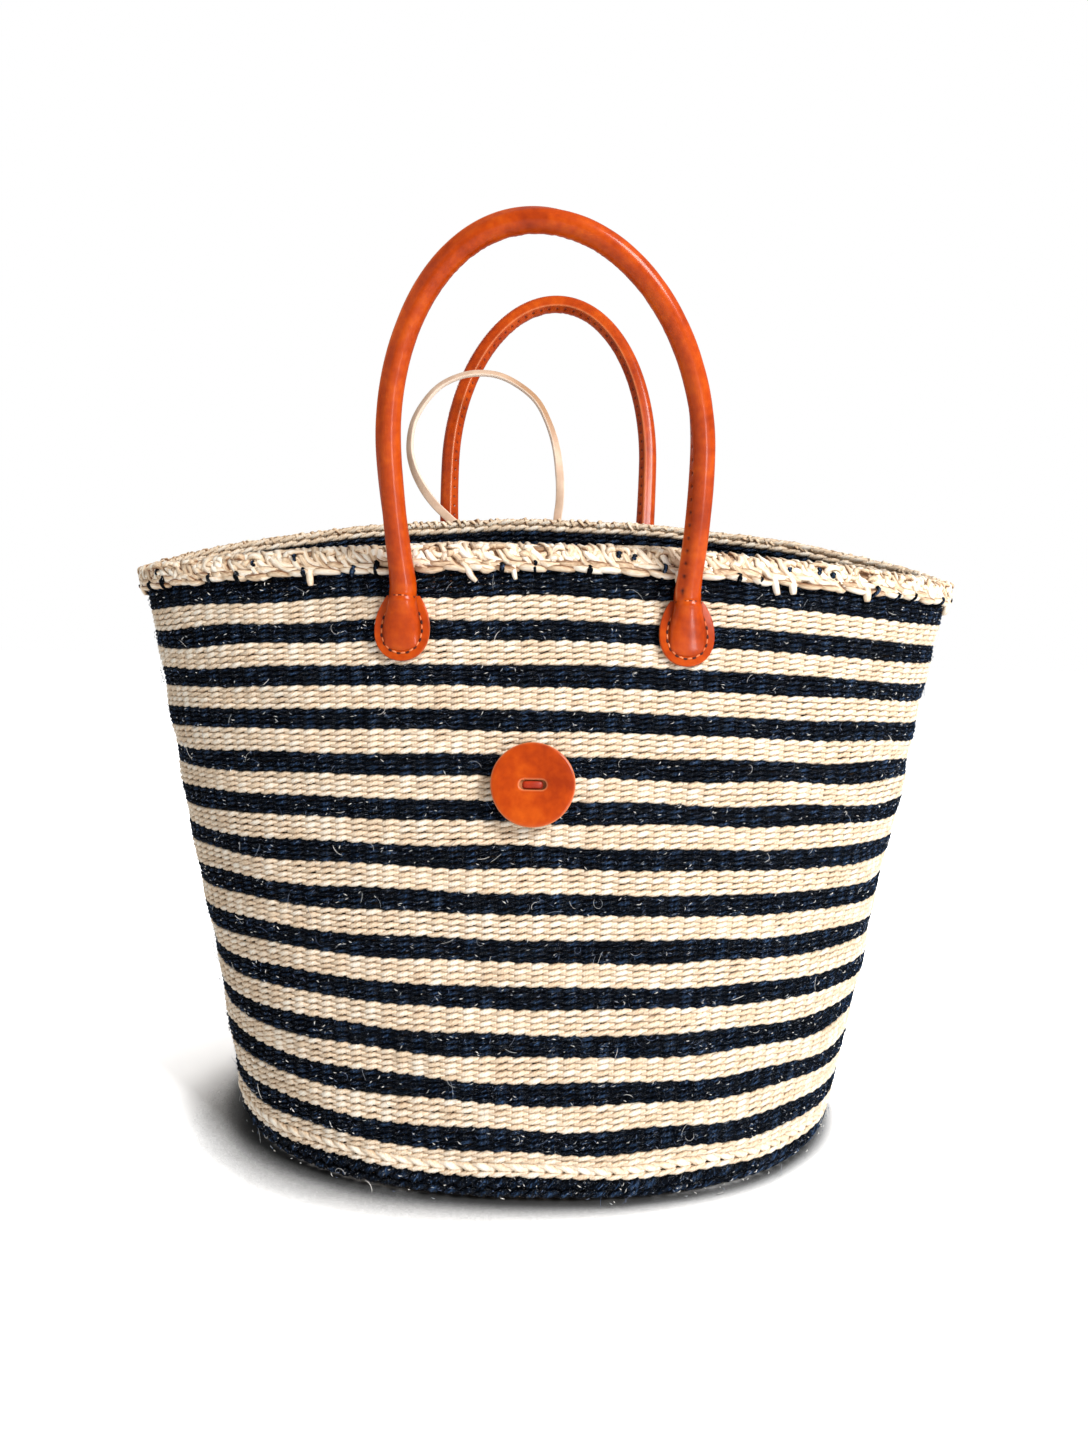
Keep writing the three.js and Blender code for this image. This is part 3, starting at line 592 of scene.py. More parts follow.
@dataclass(frozen=True)
class YarnFinish:
    """Twined sisal yarn: fine streaks along each stitch, with painted shade where a stitch dives and a
    painted highlight on its crest.
    """

    name: str
    slot: str
    # deep is painted shade for the dives and row edges; crest is a painted highlight on the raised crests.
    deep: tuple
    body: tuple
    crest: tuple
    # Colour of pale fibre specks, partly painted glints.
    fleck_glint: tuple
    fleck_glint_from: float
    roughness: float
    sheen: float
    gloss: float
    streak: float = 0.75
    streaks_per_metre: float = 190.0
    streaks_round: float = 7.0
    hairs_per_metre: float = 420.0
    hairs_round: float = 19.0
    seed_spread: float = 71.0
    fleck_glint_fade: float = 0.06
    relief: float = 0.35 * MM
    variety: float = 0.34
    stops: tuple = (0.12, 0.5, 0.9)

    def material(self) -> Material:
        """Material of the yarn."""
        sheet = NodeSheet(self.name)
        along, around = sheet.value("along"), sheet.value("around")
        tone, lift = sheet.value("tone"), sheet.value("lift")
        seed = sheet.math("MULTIPLY", tone, self.seed_spread)
        grains = []
        for rate, rounds, detail in (
            (self.streaks_per_metre, self.streaks_round, 4.0),
            (self.hairs_per_metre, self.hairs_round, 2.0),
        ):
            x, y = sheet.math("MULTIPLY", along, rate), sheet.math("MULTIPLY", around, rounds)
            grains.append(sheet.noise(sheet.vector(x, y, seed), 1.0, detail))
        fibre, hair = grains
        streaks = sheet.math("MULTIPLY", sheet.math("SUBTRACT", fibre, 0.5), self.streak)
        tones = sheet.math("MULTIPLY", sheet.math("SUBTRACT", tone, 0.5), self.variety)
        # Painted shade and highlight: lift darkens the dives and row edges and lightens the crests.
        lifted = sheet.math("MULTIPLY", lift, 0.8)
        shade = sheet.math("ADD", sheet.math("ADD", streaks, tones), lifted)
        colour = sheet.ramp(shade, list(zip(self.stops, (self.deep, self.body, self.crest))))
        # Pale fibre specks where the fine noise is high, partly painted glints.
        fleck_glints = sheet.between(hair, self.fleck_glint_from, self.fleck_glint_from + self.fleck_glint_fade)
        colour = sheet.mix(fleck_glints, colour, self.fleck_glint)
        relief = sheet.math("ADD", sheet.math("MULTIPLY", fibre, 0.6), sheet.math("MULTIPLY", hair, 0.4))
        return sheet.finish(
            {
                "Base Color": colour,
                "Roughness": self.roughness,
                "Sheen Weight": self.sheen,
                "Sheen Roughness": 0.5,
                "Specular IOR Level": self.gloss,
            },
            (relief, self.relief),
        )


@dataclass(frozen=True)
class LeatherFinish:
    """Leather with pores, mottled dye, paler raw edges and painted shade in its creases."""

    name: str
    slot: str
    dark: tuple
    body: tuple
    light: tuple
    raw: tuple
    roughness: float
    coat: float
    # Colour of the painted shade in stitch dents and along valleys.
    crease: tuple = (0.0, 0.0, 0.0, 1.0)
    gloss: float = 0.3
    grain: float = 0.05 * MM
    cloud_scale: float = 55.0
    mottle_scale: float = 260.0
    pore_scale: float = 1500.0
    wrinkle_scale: float = 420.0

    def material(self) -> Material:
        """Material of the leather."""
        sheet = NodeSheet(self.name)
        spot = sheet.spot()
        cloud = sheet.noise(spot, self.cloud_scale, 3.0)
        mottle = sheet.noise(spot, self.mottle_scale, 3.0)
        shade = sheet.math("ADD", sheet.math("MULTIPLY", cloud, 0.6), sheet.math("MULTIPLY", mottle, 0.4))
        colour = sheet.ramp(shade, [(0.32, self.dark), (0.5, self.body), (0.7, self.light)])
        worn = sheet.mix(sheet.value("raw"), colour, self.raw)
        # Painted shade where the mesh marks dents and valleys.
        crease_shaded = sheet.mix(sheet.value("crease"), worn, self.crease)
        place = {"Vector": spot, "Scale": self.pore_scale}
        pores = sheet.add("ShaderNodeTexVoronoi", place, feature="SMOOTH_F1")
        wrinkle = sheet.noise(spot, self.wrinkle_scale, 4.0)
        relief = sheet.math("ADD", sheet.math("MULTIPLY", pores.outputs[0], 0.5), wrinkle)
        gloss = sheet.math("ADD", sheet.math("MULTIPLY", mottle, 0.16), self.roughness - 0.08)
        return sheet.finish(
            {
                "Base Color": crease_shaded,
                "Roughness": gloss,
                "Coat Weight": self.coat,
                "Coat Roughness": 0.2,
                "Specular IOR Level": self.gloss,
            },
            (relief, self.grain),
        )


NATURAL_YARN = YarnFinish(
    name="undyed_sisal",
    slot="natural_sisal",
    deep=tint(128, 86, 52),
    body=tint(226, 198, 164),
    crest=tint(255, 247, 232),
    fleck_glint=tint(255, 251, 242),
    fleck_glint_from=0.7,
    roughness=0.68,
    sheen=0.1,
    gloss=0.25,
)
NAVY_YARN = YarnFinish(
    name="navy_sisal",
    slot="navy_sisal",
    deep=tint(1, 2, 5),
    body=tint(3, 8, 18),
    crest=tint(62, 88, 124),
    fleck_glint=tint(205, 210, 216),
    fleck_glint_from=0.67,
    roughness=0.6,
    sheen=0.0,
    gloss=0.04,
    streak=1.15,
    streaks_per_metre=430.0,
    variety=0.22,
    stops=(0.38, 0.7, 1.08),
)
TAN_LEATHER = LeatherFinish(
    name="tan_leather",
    slot="tan_leather",
    dark=tint(146, 44, 0),
    body=tint(174, 60, 0),
    light=tint(196, 80, 6),
    raw=tint(232, 148, 98),
    roughness=0.5,
    coat=0.36,
    crease=tint(70, 10, 2),
    gloss=0.05,
)
BACKING = LeatherFinish(
    name="leather_backing",
    slot="leather_backing",
    dark=tint(128, 70, 36),
    body=tint(160, 94, 54),
    light=tint(182, 118, 76),
    raw=tint(214, 168, 130),
    roughness=0.8,
    coat=0.0,
    grain=0.12 * MM,
)
RED_THONG = LeatherFinish(
    name="red_thong",
    slot="red_brown_thong",
    dark=tint(124, 24, 2),
    body=tint(160, 40, 4),
    light=tint(184, 58, 14),
    raw=tint(184, 58, 14),
    roughness=0.5,
    coat=0.05,
)
THREAD = LeatherFinish(
    name="waxed_thread",
    slot="tan_leather",
    dark=tint(190, 92, 44),
    body=tint(214, 118, 68),
    light=tint(232, 146, 98),
    raw=tint(232, 146, 98),
    roughness=0.5,
    coat=0.0,
)
# Dark beads at the stitch holes: painted shade in the holes.
HOLE_SHADE = LeatherFinish(
    name="painted_hole_shade",
    slot="tan_leather",
    dark=tint(52, 14, 6),
    body=tint(64, 18, 8),
    light=tint(76, 24, 10),
    raw=tint(76, 24, 10),
    roughness=0.7,
    coat=0.0,
)


# Twined wall


@dataclass(frozen=True)
class TwinedRow:
    """One row of two-strand twining, as shares of its band and of the yarn.

    Attributes:
        centre: height of the row in its band, 0 at the bottom.
        size: height of the row as a share of the band.
        hand: 1 where the stitches rise to the right, -1 where they fall.
        boldness: thickness of the yarn beside the common one.
        side: 1 where the longer stitches lie outside, -1 where they lie inside.
    """

    centre: float
    size: float
    hand: int = 1
    boldness: float = 1.0
    side: int = 1


@dataclass(frozen=True)
class TwineSizes:
    """Sizes of the twining seen in section through the wall."""

    mid_inset: float = 2.2 * MM
    strand_reach: float = 1.05 * MM
    half_depth: float = 1.3 * MM
    face_overlap: float = 1.12
    dive_share: float = 0.6
    slant_share: float = 0.22
    facing_power: float = 0.36
    front_bias: float = 0.5
    calm_height: float = 20 * MM
    stitch_pitch: float = 8.3 * MM
    ground: float = 0.1 * MM
    fat_share: float = 0.16
    rise_shift: float = 0.24 * MM
    out_shift: float = 0.18 * MM
    lining_below_rim: float = 6.5 * MM
    stitch_steps: int = 6
    dark_stitch_steps: int = 5
    sides: int = 5


class TwineTemplate:
    """Closed rings of plain strands that every band bends into its own twining."""

    def __init__(self, strands: int, stitches: int, stitch_steps: int, sides: int) -> None:
        """Rolls and welds one ring for each strand.

        Args:
            strands: number of strands, two to a row.
            stitches: stitches round the wall.
            stitch_steps: steps along each stitch.
            sides: points round a strand.
        """
        bm = bmesh.new()
        steps = stitches * stitch_steps
        ring = np.linspace(0.0, TAU, sides, endpoint=False)
        x = np.linspace(0.0, stitches, steps + 1) + 0.5 / stitch_steps
        turn = TAU * x / stitches
        for strand in range(strands):
            radial = 1.0 + 0.02 * np.cos(ring)[None, :]
            height = np.broadcast_to(0.1 * strand + 0.02 * np.sin(ring), (steps + 1, sides))
            across, along = radial * np.cos(turn)[:, None], radial * np.sin(turn)[:, None]
            rings = np.stack([across, along, height], axis=-1)
            flat = {"flat_x": x[:, None] % stitches, "flat_ring": ring, "flat_strand": np.array(strand)}
            rolled_sheet(bm, rings, flat)
        weld(bm, cap=False, reach=1e-6)
        self.mesh = bpy.data.meshes.new("twine_template")
        bm.to_mesh(self.mesh)
        bm.free()
        self.x = get_attribute(self.mesh, "flat_x").astype(float)
        self.ring = get_attribute(self.mesh, "flat_ring").astype(float)
        self.strand = np.rint(get_attribute(self.mesh, "flat_strand")).astype(int)
        for name in ("flat_x", "flat_ring", "flat_strand"):
            self.mesh.attributes.remove(self.mesh.attributes[name])


class TwinedWall:
    """Bands of twining from the foot to the rim braid."""

    def __init__(self, wall: WallForm, warps: WarpSpread, sizes: TwineSizes, courses: Courses) -> None:
        """Keeps the shapes that all bands share."""
        self.wall = wall
        self.warps = warps
        self.sizes = sizes
        self.courses = courses
        self.rise = Wander(seed=11, size=0.75 * MM)
        self.swell = Wander(seed=12, size=0.8 * MM)
        self.templates: dict[tuple[int, int], TwineTemplate] = {}

    def template(self, rows: int, stitch_steps: int) -> TwineTemplate:
        """Template for a number of rows and of steps to a stitch, made once."""
        key = (rows, stitch_steps)
        if key not in self.templates:
            self.templates[key] = TwineTemplate(2 * rows, self.warps.count, stitch_steps, self.sizes.sides)
        return self.templates[key]

    def swell_at(self, turns: Array, height: Array) -> Array:
        """Outward unevenness of the wall, none of it at the ground."""
        return self.swell.at(turns, height) * np.minimum(1.0, height / self.sizes.calm_height)

    def band(
        self,
        node: str,
        low: float,
        high: float,
        rows: Sequence[TwinedRow],
        finish: YarnFinish,
        skin: Material,
        seed: int,
    ) -> Piece:
        """Builds one band of twining.

        Args:
            node: name of the band.
            low: height of its lower edge along the wall.
            high: height of its upper edge.
            rows: rows from the bottom up.
            finish: yarn finish.
            skin: material of that finish.
            seed: seed of its small differences.

        Returns:
            The band's object.
        """
        sizes = self.sizes
        steps = sizes.dark_stitch_steps if finish is NAVY_YARN else sizes.stitch_steps
        template = self.template(len(rows), steps)
        x, ring = template.x, template.ring
        row_index = template.strand // 2
        ply = template.strand % 2
        rng = np.random.default_rng(seed)
        table = {
            key: np.array([getattr(row, key) for row in rows])[row_index]
            for key in ("centre", "size", "hand", "boldness", "side")
        }
        stitch = np.rint(x).astype(int) % self.warps.count
        draw = rng.uniform(-1.0, 1.0, (5, len(rows) * 2, self.warps.count))
        tone, fat, shift, depth_shift, slide = draw[:, template.strand, stitch]
        fade = np.abs(np.cos(math.pi * (x + ply)))
        phase = math.pi * (x + ply + 0.05 * slide * fade)
        facing = np.cos(phase)
        pushed = (facing + table["side"] * sizes.front_bias) / (1 + sizes.front_bias)
        reach = np.sign(pushed) * np.abs(pushed) ** sizes.facing_power
        height = (high - low) * table["size"]
        slant = sizes.slant_share * height * table["hand"] * np.sin(phase)
        face_half = 0.5 * height * sizes.face_overlap * (1 + sizes.fat_share * fat)
        dive_half = 0.5 * height * sizes.dive_share
        half_height = dive_half + (face_half - dive_half) * np.abs(facing) ** 0.9
        turn = ring + table["hand"] * phase
        half_depth = sizes.half_depth * table["boldness"] * (1 + 0.08 * fat)
        out = sizes.strand_reach * reach + half_depth * np.cos(turn)
        out = out + sizes.out_shift * depth_shift * fade
        rise = slant + half_height * np.sin(turn) + sizes.rise_shift * shift * fade
        turns = x / self.warps.count
        base = low + (high - low) * table["centre"]
        wander = self.rise.at(turns, base) * np.minimum(1.0, base / sizes.calm_height)
        share = (base + rise + wander) / self.wall.height
        angle = self.warps.angle(turns, (low + high) / (2 * self.wall.height))
        inset = sizes.mid_inset - out - self.swell_at(turns, base) + self.wall.foot_turn(base + rise)
        points = self.wall.point(share, angle, inset)
        points[:, 2] = np.maximum(points[:, 2], sizes.ground)
        mesh = template.mesh.copy()
        mesh.vertices.foreach_set("co", points.astype(np.float32).ravel())
        perimeter = self.warps.count * sizes.stitch_pitch
        set_attribute(mesh, "along", turns * perimeter + seed * 0.37)
        set_attribute(mesh, "around", 1 - np.abs(ring / math.pi - 1))
        set_attribute(mesh, "tone", 0.5 + 0.5 * tone * fade)
        # Painted shade and highlight: low on the strand's edges between rows and where a stitch dives, high
        # on the crests.
        bare = np.clip(0.28 + 0.85 * np.abs(np.cos(turn)), 0, 1)
        set_attribute(mesh, "lift", (0.8 + 0.2 * np.abs(facing)) * bare)
        piece = link_piece(f"{node}_twined", mesh)
        dress(piece, [skin])
        return piece

    def course(self, node: str, *details: object) -> None:
        """Builds a band in place of the plain ring of its name."""
        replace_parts(self.band(node, *details), node)

    def build(self, natural: Material, navy: Material) -> None:
        """Builds every band from the foot up.

        Args:
            natural: material of the undyed yarn.
            navy: material of the dyed yarn.
        """
        even = [TwinedRow((i + 0.5) / 4, 0.25) for i in range(4)]
        edge = [TwinedRow(0.24, 0.48, boldness=1.25), TwinedRow(0.74, 0.5, boldness=1.15)]
        turned = [
            TwinedRow(0.13, 0.24),
            TwinedRow(0.4, 0.31, hand=-1, boldness=1.2),
            TwinedRow(0.67, 0.23),
            TwinedRow(0.89, 0.22),
        ]
        course, pairs = self.courses.base, self.courses.pairs
        self.course(f"navy_weft_band_{pairs + 1:02d}", 2.0 * MM, course, edge, NAVY_YARN, navy, 1)
        log.info("band navy %d", pairs + 1)
        for number in range(pairs, 0, -1):
            top = course + self.courses.natural
            rows = turned if number == pairs else even
            name = f"natural_weft_band_{number:02d}"
            self.course(name, course, top, rows, NATURAL_YARN, natural, 10 + number)
            course = top + self.courses.navy
            name = f"navy_weft_band_{number:02d}"
            self.course(name, top, course, even, NAVY_YARN, navy, 40 + number)
            log.info("bands %d", number)
        lining = [TwinedRow((i + 0.5) / 3, 0.34, side=-1) for i in range(3)]
        top = self.wall.height - self.sizes.lining_below_rim
        self.band("navy_rim_lining", course, top, lining, NAVY_YARN, navy, 90)
        chain = [TwinedRow(share, 0.5, boldness=1.15, side=-1) for share in (0.25, 0.75)]
        self.band("natural_rim_lining", top, self.wall.height, chain, NATURAL_YARN, natural, 91)


# Rim


@dataclass(frozen=True)
class RimSizes:
    """Sizes of the rolled rim, whose strands run over the crest and lie down to the right."""

    units: int = 84
    pitch: float = 13.2 * MM
    strand_half_width: float = 2.0 * MM
    strand_half_thickness: float = 1.2 * MM
    strands: int = 3
    spread_share: float = 0.33
    drop: float = 2.5 * MM
    curls: tuple = (4, 2)
    curl_levels: tuple = (-3.7 * MM, -7.6 * MM)
    lobe_levels: tuple = (-9.3 * MM, -12.0 * MM)
    rosette_share: float = 0.3
    hook_share: float = 0.7
    tail_share: float = 0.16
    cut_radius: float = 1.9 * MM
    steps: int = 11
    sides: int = 6


@dataclass
class RimBraid:
    """Rolled rim: bundles of strands over a core, with rosettes round the cut ends of the warps."""

    wall: WallForm
    warps: WarpSpread
    sizes: RimSizes

    ROUTE = (
        (-0.10, -2.6, -3.4, 0.0),
        (-0.02, -0.9, -3.1, 0.0),
        (0.08, 0.2, -2.2, 0.1),
        (0.20, -1.6, 0.4, 0.2),
        (0.34, -5.0, 1.7, 0.45),
        (0.55, -8.2, 2.1, 0.8),
        (0.84, -10.2, 1.9, 0.8),
        (1.10, -10.4, 0.4, 0.8),
        (1.24, -9.6, -1.8, 0.8),
    )

    def place(self, route: Array) -> Array:
        """Points for rows of (units along, height below the crest, distance outward)."""
        turns = route[:, 0] / self.sizes.units
        share = (self.wall.height + route[:, 1]) / self.wall.height
        angle = self.warps.angle(turns, 0.97)
        return self.wall.point(share, angle, -route[:, 2])

    def strand(self, batch: StrandBatch, route: Array, size: float, tone: float) -> None:
        """Adds one strand along a route of (units, height, outward).

        Args:
            batch: strands of the rim.
            route: rows of the route.
            size: thickness beside the common strand.
            tone: shade from 0 to 1.
        """
        sizes = self.sizes
        middle = smooth_path(route, sizes.steps)
        path = self.place(middle)
        middle[:, 1:] = (-6 * MM, -2.5 * MM)
        up = unit(path - self.place(middle))
        taper = np.sin(np.linspace(0.12, 0.88, sizes.steps) * math.pi) ** 0.35
        wide, thick = (half * size * taper for half in (sizes.strand_half_width, sizes.strand_half_thickness))
        rings = tube_rings(path, wide, thick, up, sizes.sides)
        ring = np.linspace(0.0, TAU, sizes.sides, endpoint=False)
        values = {
            "along": np.linspace(0.0, 0.03, sizes.steps)[:, None] + tone * 3.0,
            "around": 1 - np.abs(ring / math.pi - 1),
            "tone": np.array(tone),
            # Painted shade on the strand's sides and back and at its tapered ends.
            "lift": np.clip(0.2 + (0.62 + 0.3 * tone) * np.cos(ring), 0, 1) * taper[:, None],
        }
        batch.add(rings, values)

    def core(self, natural: Material) -> None:
        """Builds the roll that the strands lie on."""
        bm = bmesh.new()
        count, sides = 252, 10
        ring = np.linspace(0.0, TAU, sides, endpoint=False)
        turns = np.linspace(0.0, self.sizes.units, count + 1)
        rings = np.empty((count + 1, sides, 3))
        for k, turn in enumerate(ring):
            height = np.full(count + 1, -6.9 * MM + 5.6 * MM * math.cos(turn))
            out = np.full(count + 1, 0.2 * MM + 0.9 * MM * math.sin(turn))
            rings[:, k] = self.place(np.stack([turns, height, out], axis=1))
        # The core gets one fixed tone and a fixed painted shade, darker than the strands' crests.
        tone_and_painted_shade = np.array(0.3)
        values = {"along": turns[:, None] * 0.013, "around": ring, "tone": tone_and_painted_shade, "lift": tone_and_painted_shade}
        rolled_sheet(bm, rings, values)
        weld(bm)
        dress(bake_bmesh("rim_core", bm), [natural])

    def build(self, natural: Material, navy: Material) -> None:
        """Builds the whole rim in place of its plain ring.

        Args:
            natural: material of the undyed yarn.
            navy: material of the dyed yarn.
        """
        sizes = self.sizes
        rng = np.random.default_rng(5)
        self.core(natural)
        braid = StrandBatch(sizes.steps, sizes.sides)
        ends = StrandBatch(sizes.steps, sizes.sides)
        for number in range(sizes.units):
            self.fan(braid, number, rng)
            for row, level in enumerate(sizes.lobe_levels):
                self.lobe(braid, number + 0.45 * row + rng.uniform(-0.15, 0.15), level, rng)
            for row, level in enumerate(sizes.curl_levels):
                for k in range(sizes.curls[row]):
                    at = number + (k + 0.5 * row + rng.uniform(-0.25, 0.25)) / sizes.curls[row]
                    self.curl(braid, at, level + rng.normal(0.0, 0.5) * MM, rng)
            if rng.uniform() < sizes.rosette_share:
                self.rosette(braid, ends, number + rng.uniform(0.2, 0.8), rng)
            if rng.uniform() < sizes.hook_share:
                self.hook(ends, number + rng.uniform(0.3, 0.7), rng)
            if rng.uniform() < sizes.tail_share:
                self.tail(braid, number + rng.uniform(0.6, 1.2), rng)
        dress(braid.build("rim_braid_rolled"), [natural], nodes=["rim_braid"])
        dress(ends.build("rim_cut_ends"), [navy])
        log.info("rim braid")

    def fan(self, batch: StrandBatch, number: int, rng: Rng) -> None:
        """Adds the strands of one unit that come over the crest and lie down to the right.

        Args:
            batch: strands of the rim.
            number: unit, counted from the middle of the back.
            rng: source of the small differences.
        """
        sizes = self.sizes
        plan = np.array([row[:3] for row in self.ROUTE]) * np.array([1.0, MM, MM])
        weight = np.array([row[3] for row in self.ROUTE])
        sway, steep = rng.uniform(-0.14, 0.14), rng.uniform(-0.3, 0.4)
        for k in range(sizes.strands):
            lane = k - (sizes.strands - 1) / 2
            route = plan.copy()
            route[:, 0] += number + sway + lane * sizes.spread_share * (1 - 0.5 * weight)
            route[:, 0] -= steep * weight * (route[:, 0] - number) * 0.5
            route[:, 1] += (lane * sizes.drop + rng.uniform(-0.8, 0.8) * MM) * weight
            route += rng.normal(0.0, 1.0, route.shape) * np.array([0.04, 0.4 * MM, 0.2 * MM])
            route[:, 1] = np.minimum(route[:, 1], 0.3 * MM)
            self.strand(batch, route, rng.uniform(0.8, 1.1), rng.uniform(0.1, 1.0))

    def lobe(self, batch: StrandBatch, at: float, level: float, rng: Rng) -> None:
        """Adds a broad strand that lies along the lower edge and dives in at both ends.

        Args:
            batch: strands of the rim.
            at: place along the rim in units.
            level: height below the crest, negative.
            rng: source of the small differences.
        """
        t = np.linspace(0.0, 1.0, 7)
        across = at + rng.uniform(0.85, 1.25) * (t - 0.5)
        fall = rng.uniform(-0.2, 1.9) * MM
        height = level + fall * (0.5 - t) + rng.uniform(-0.5, 1.1) * MM * (1 - 4 * (t - 0.5) ** 2) * -1
        out = 0.3 * MM + 2.1 * MM * np.sin(math.pi * t) ** 0.4
        route = np.stack([across, height, out], axis=1)
        self.strand(batch, route, rng.uniform(0.85, 1.15), rng.uniform(0.0, 1.0))

    def curl(self, batch: StrandBatch, at: float, level: float, rng: Rng, radius: float = 0.0) -> None:
        """Adds a strand that curls round in the face of the rim and dives in at both ends.

        Args:
            batch: strands of the rim.
            at: place along the rim in units.
            level: height of the curl's middle below the crest, negative.
            rng: source of the small differences.
            radius: size of the curl, drawn at random when 0.
        """
        t = np.linspace(0.0, 1.0, 9)
        radius = radius or rng.uniform(1.6, 2.9) * MM
        sweep = rng.uniform(0.6, 1.1) * math.pi
        turn = rng.uniform(0.0, TAU) + rng.choice([-1.0, 1.0]) * sweep * t
        across = at + 1.3 * radius * np.cos(turn) / self.sizes.pitch
        height = np.minimum(level + radius * np.sin(turn), -1.6 * MM)
        out = 0.5 * MM + rng.uniform(1.0, 2.1) * MM * np.sin(math.pi * t) ** 0.5
        route = np.stack([across, height, out], axis=1)
        self.strand(batch, route, rng.uniform(0.75, 1.1), rng.uniform(0.0, 1.0))

    def rosette(self, braid: StrandBatch, ends: StrandBatch, at: float, rng: Rng) -> None:
        """Adds a frayed dark cut end and the strands that curl round it.

        Args:
            braid: undyed strands.
            ends: dark strands.
            at: place along the rim in units.
            rng: source of the small differences.
        """
        cut = self.sizes.cut_radius * rng.uniform(0.8, 1.2)
        level = -rng.uniform(4.0, 6.8) * MM
        for _ in range(2):
            self.curl(braid, at, level, rng, cut + self.sizes.strand_half_width * 0.9)
        for k in range(3):
            turn = TAU * (k + rng.uniform(-0.3, 0.3)) / 3
            reach = np.array([0.9, 0.75, 0.45, -0.1]) * cut
            across = at + reach * math.cos(turn) / self.sizes.pitch
            height = level + reach * math.sin(turn)
            out = np.array([0.8, 2.0, 3.0, 3.3]) * MM
            route = np.stack([across, height, out], axis=1)
            if k:
                self.strand(ends, route, rng.uniform(0.55, 0.75), rng.uniform(0.3, 1.0))
            else:
                self.strand(braid, route, 0.4, 0.2)

    def hook(self, batch: StrandBatch, at: float, rng: Rng) -> None:
        """Adds a dark strand that comes up from the first band between two bundles.

        Args:
            batch: dark strands.
            at: place along the rim in units.
            rng: source of the small differences.
        """
        top = -rng.uniform(8.6, 11.6) * MM
        lean = rng.uniform(-0.04, 0.2)
        route = np.array([
            [at - lean, -15.5 * MM, 0.4 * MM],
            [at - 0.6 * lean, -13.2 * MM, 3.0 * MM],
            [at, 0.5 * (top - 13.0 * MM), 3.9 * MM],
            [at + 0.04, top, 3.4 * MM],
            [at - 0.06, top + 0.6 * MM, 1.6 * MM],
        ])
        self.strand(batch, route, rng.uniform(0.4, 0.85), rng.uniform(0.0, 1.0))

    def tail(self, batch: StrandBatch, at: float, rng: Rng) -> None:
        """Adds a strand end that hangs over the first dark band.

        Args:
            batch: undyed strands.
            at: place along the rim in units.
            rng: source of the small differences.
        """
        lean = rng.uniform(-0.1, 0.5)
        length = rng.uniform(2.5, 6.0)
        route = np.array([
            [at - lean, -9.0 * MM, 2.2 * MM],
            [at - 0.4 * lean, -12.0 * MM, 2.6 * MM],
            [at, -(12.5 + 0.55 * length) * MM, 2.2 * MM],
            [at + 0.5 * lean, -(12.5 + length) * MM, 1.4 * MM],
        ])
        self.strand(batch, route, rng.uniform(0.6, 1.1), rng.uniform(0.4, 1.0))


# Leather


@dataclass(frozen=True)
class HandleSizes:
    """Sizes of one rolled handle; angles are radians."""

    name: str
    side: Side
    half_span: float
    foot_half_span: float
    height: float
    sway: float
    tilt: float
    stand_off: float
    seam_turns: tuple
    stitch_side: float
    shoulder: float = 60 * MM
    radius: float = 5.2 * MM
    pivot_below_rim: float = 20 * MM
    stitch_pitch: float = 6.0 * MM


FRONT = HandleSizes(
    name="front",
    side=Side.FRONT,
    half_span=72 * MM,
    foot_half_span=68 * MM,
    height=159 * MM,
    sway=-6 * MM,
    tilt=math.radians(16),
    stand_off=6.5 * MM,
    seam_turns=(
        (0.0, -50), (0.12, -10), (0.2, 20), (0.3, 32), (0.4, 15),
        (0.5, -20), (0.65, -90), (0.85, -165), (1.0, -206),
    ),
    stitch_side=-1.0,
)
BACK = HandleSizes(
    name="back",
    side=Side.BACK,
    half_span=63 * MM,
    foot_half_span=61 * MM,
    height=168 * MM,
    sway=4 * MM,
    tilt=math.radians(12),
    stand_off=9.3 * MM,
    seam_turns=((0.0, -98), (0.5, -122), (1.0, -106)),
    stitch_side=-1.0,
)


@dataclass(frozen=True)
class TabSizes:
    """Sizes of the stitched tabs at the feet of the handles."""

    half_width: float = 13.5 * MM
    length: float = 32 * MM
    neck_half_width: float = 8 * MM
    leather: float = 2.2 * MM
    seat: float = 0.9 * MM
    top: float = -5.5 * MM
    tongue_top: float = 6.4 * MM
    tongue_half: float = 9 * MM
    end_margin: float = 4.5 * MM
    stitch_margin: float = 3.6 * MM
    stitch_pitch: float = 4.3 * MM
    patch_leather: float = 1.8 * MM
    patch_inset: float = 1.5 * MM
    patch_face: float = -5.8 * MM


def bezier(p0: tuple, p1: tuple, p2: tuple, p3: tuple, count: int) -> Array:
    """Points on a cubic curve, its last point left out."""
    t = np.linspace(0.0, 1.0, count, endpoint=False)[:, None]
    points = [np.asarray(p, dtype=float) for p in (p0, p1, p2, p3)]
    s = 1 - t
    return s**3 * points[0] + 3 * s**2 * t * points[1] + 3 * s * t**2 * points[2] + t**3 * points[3]


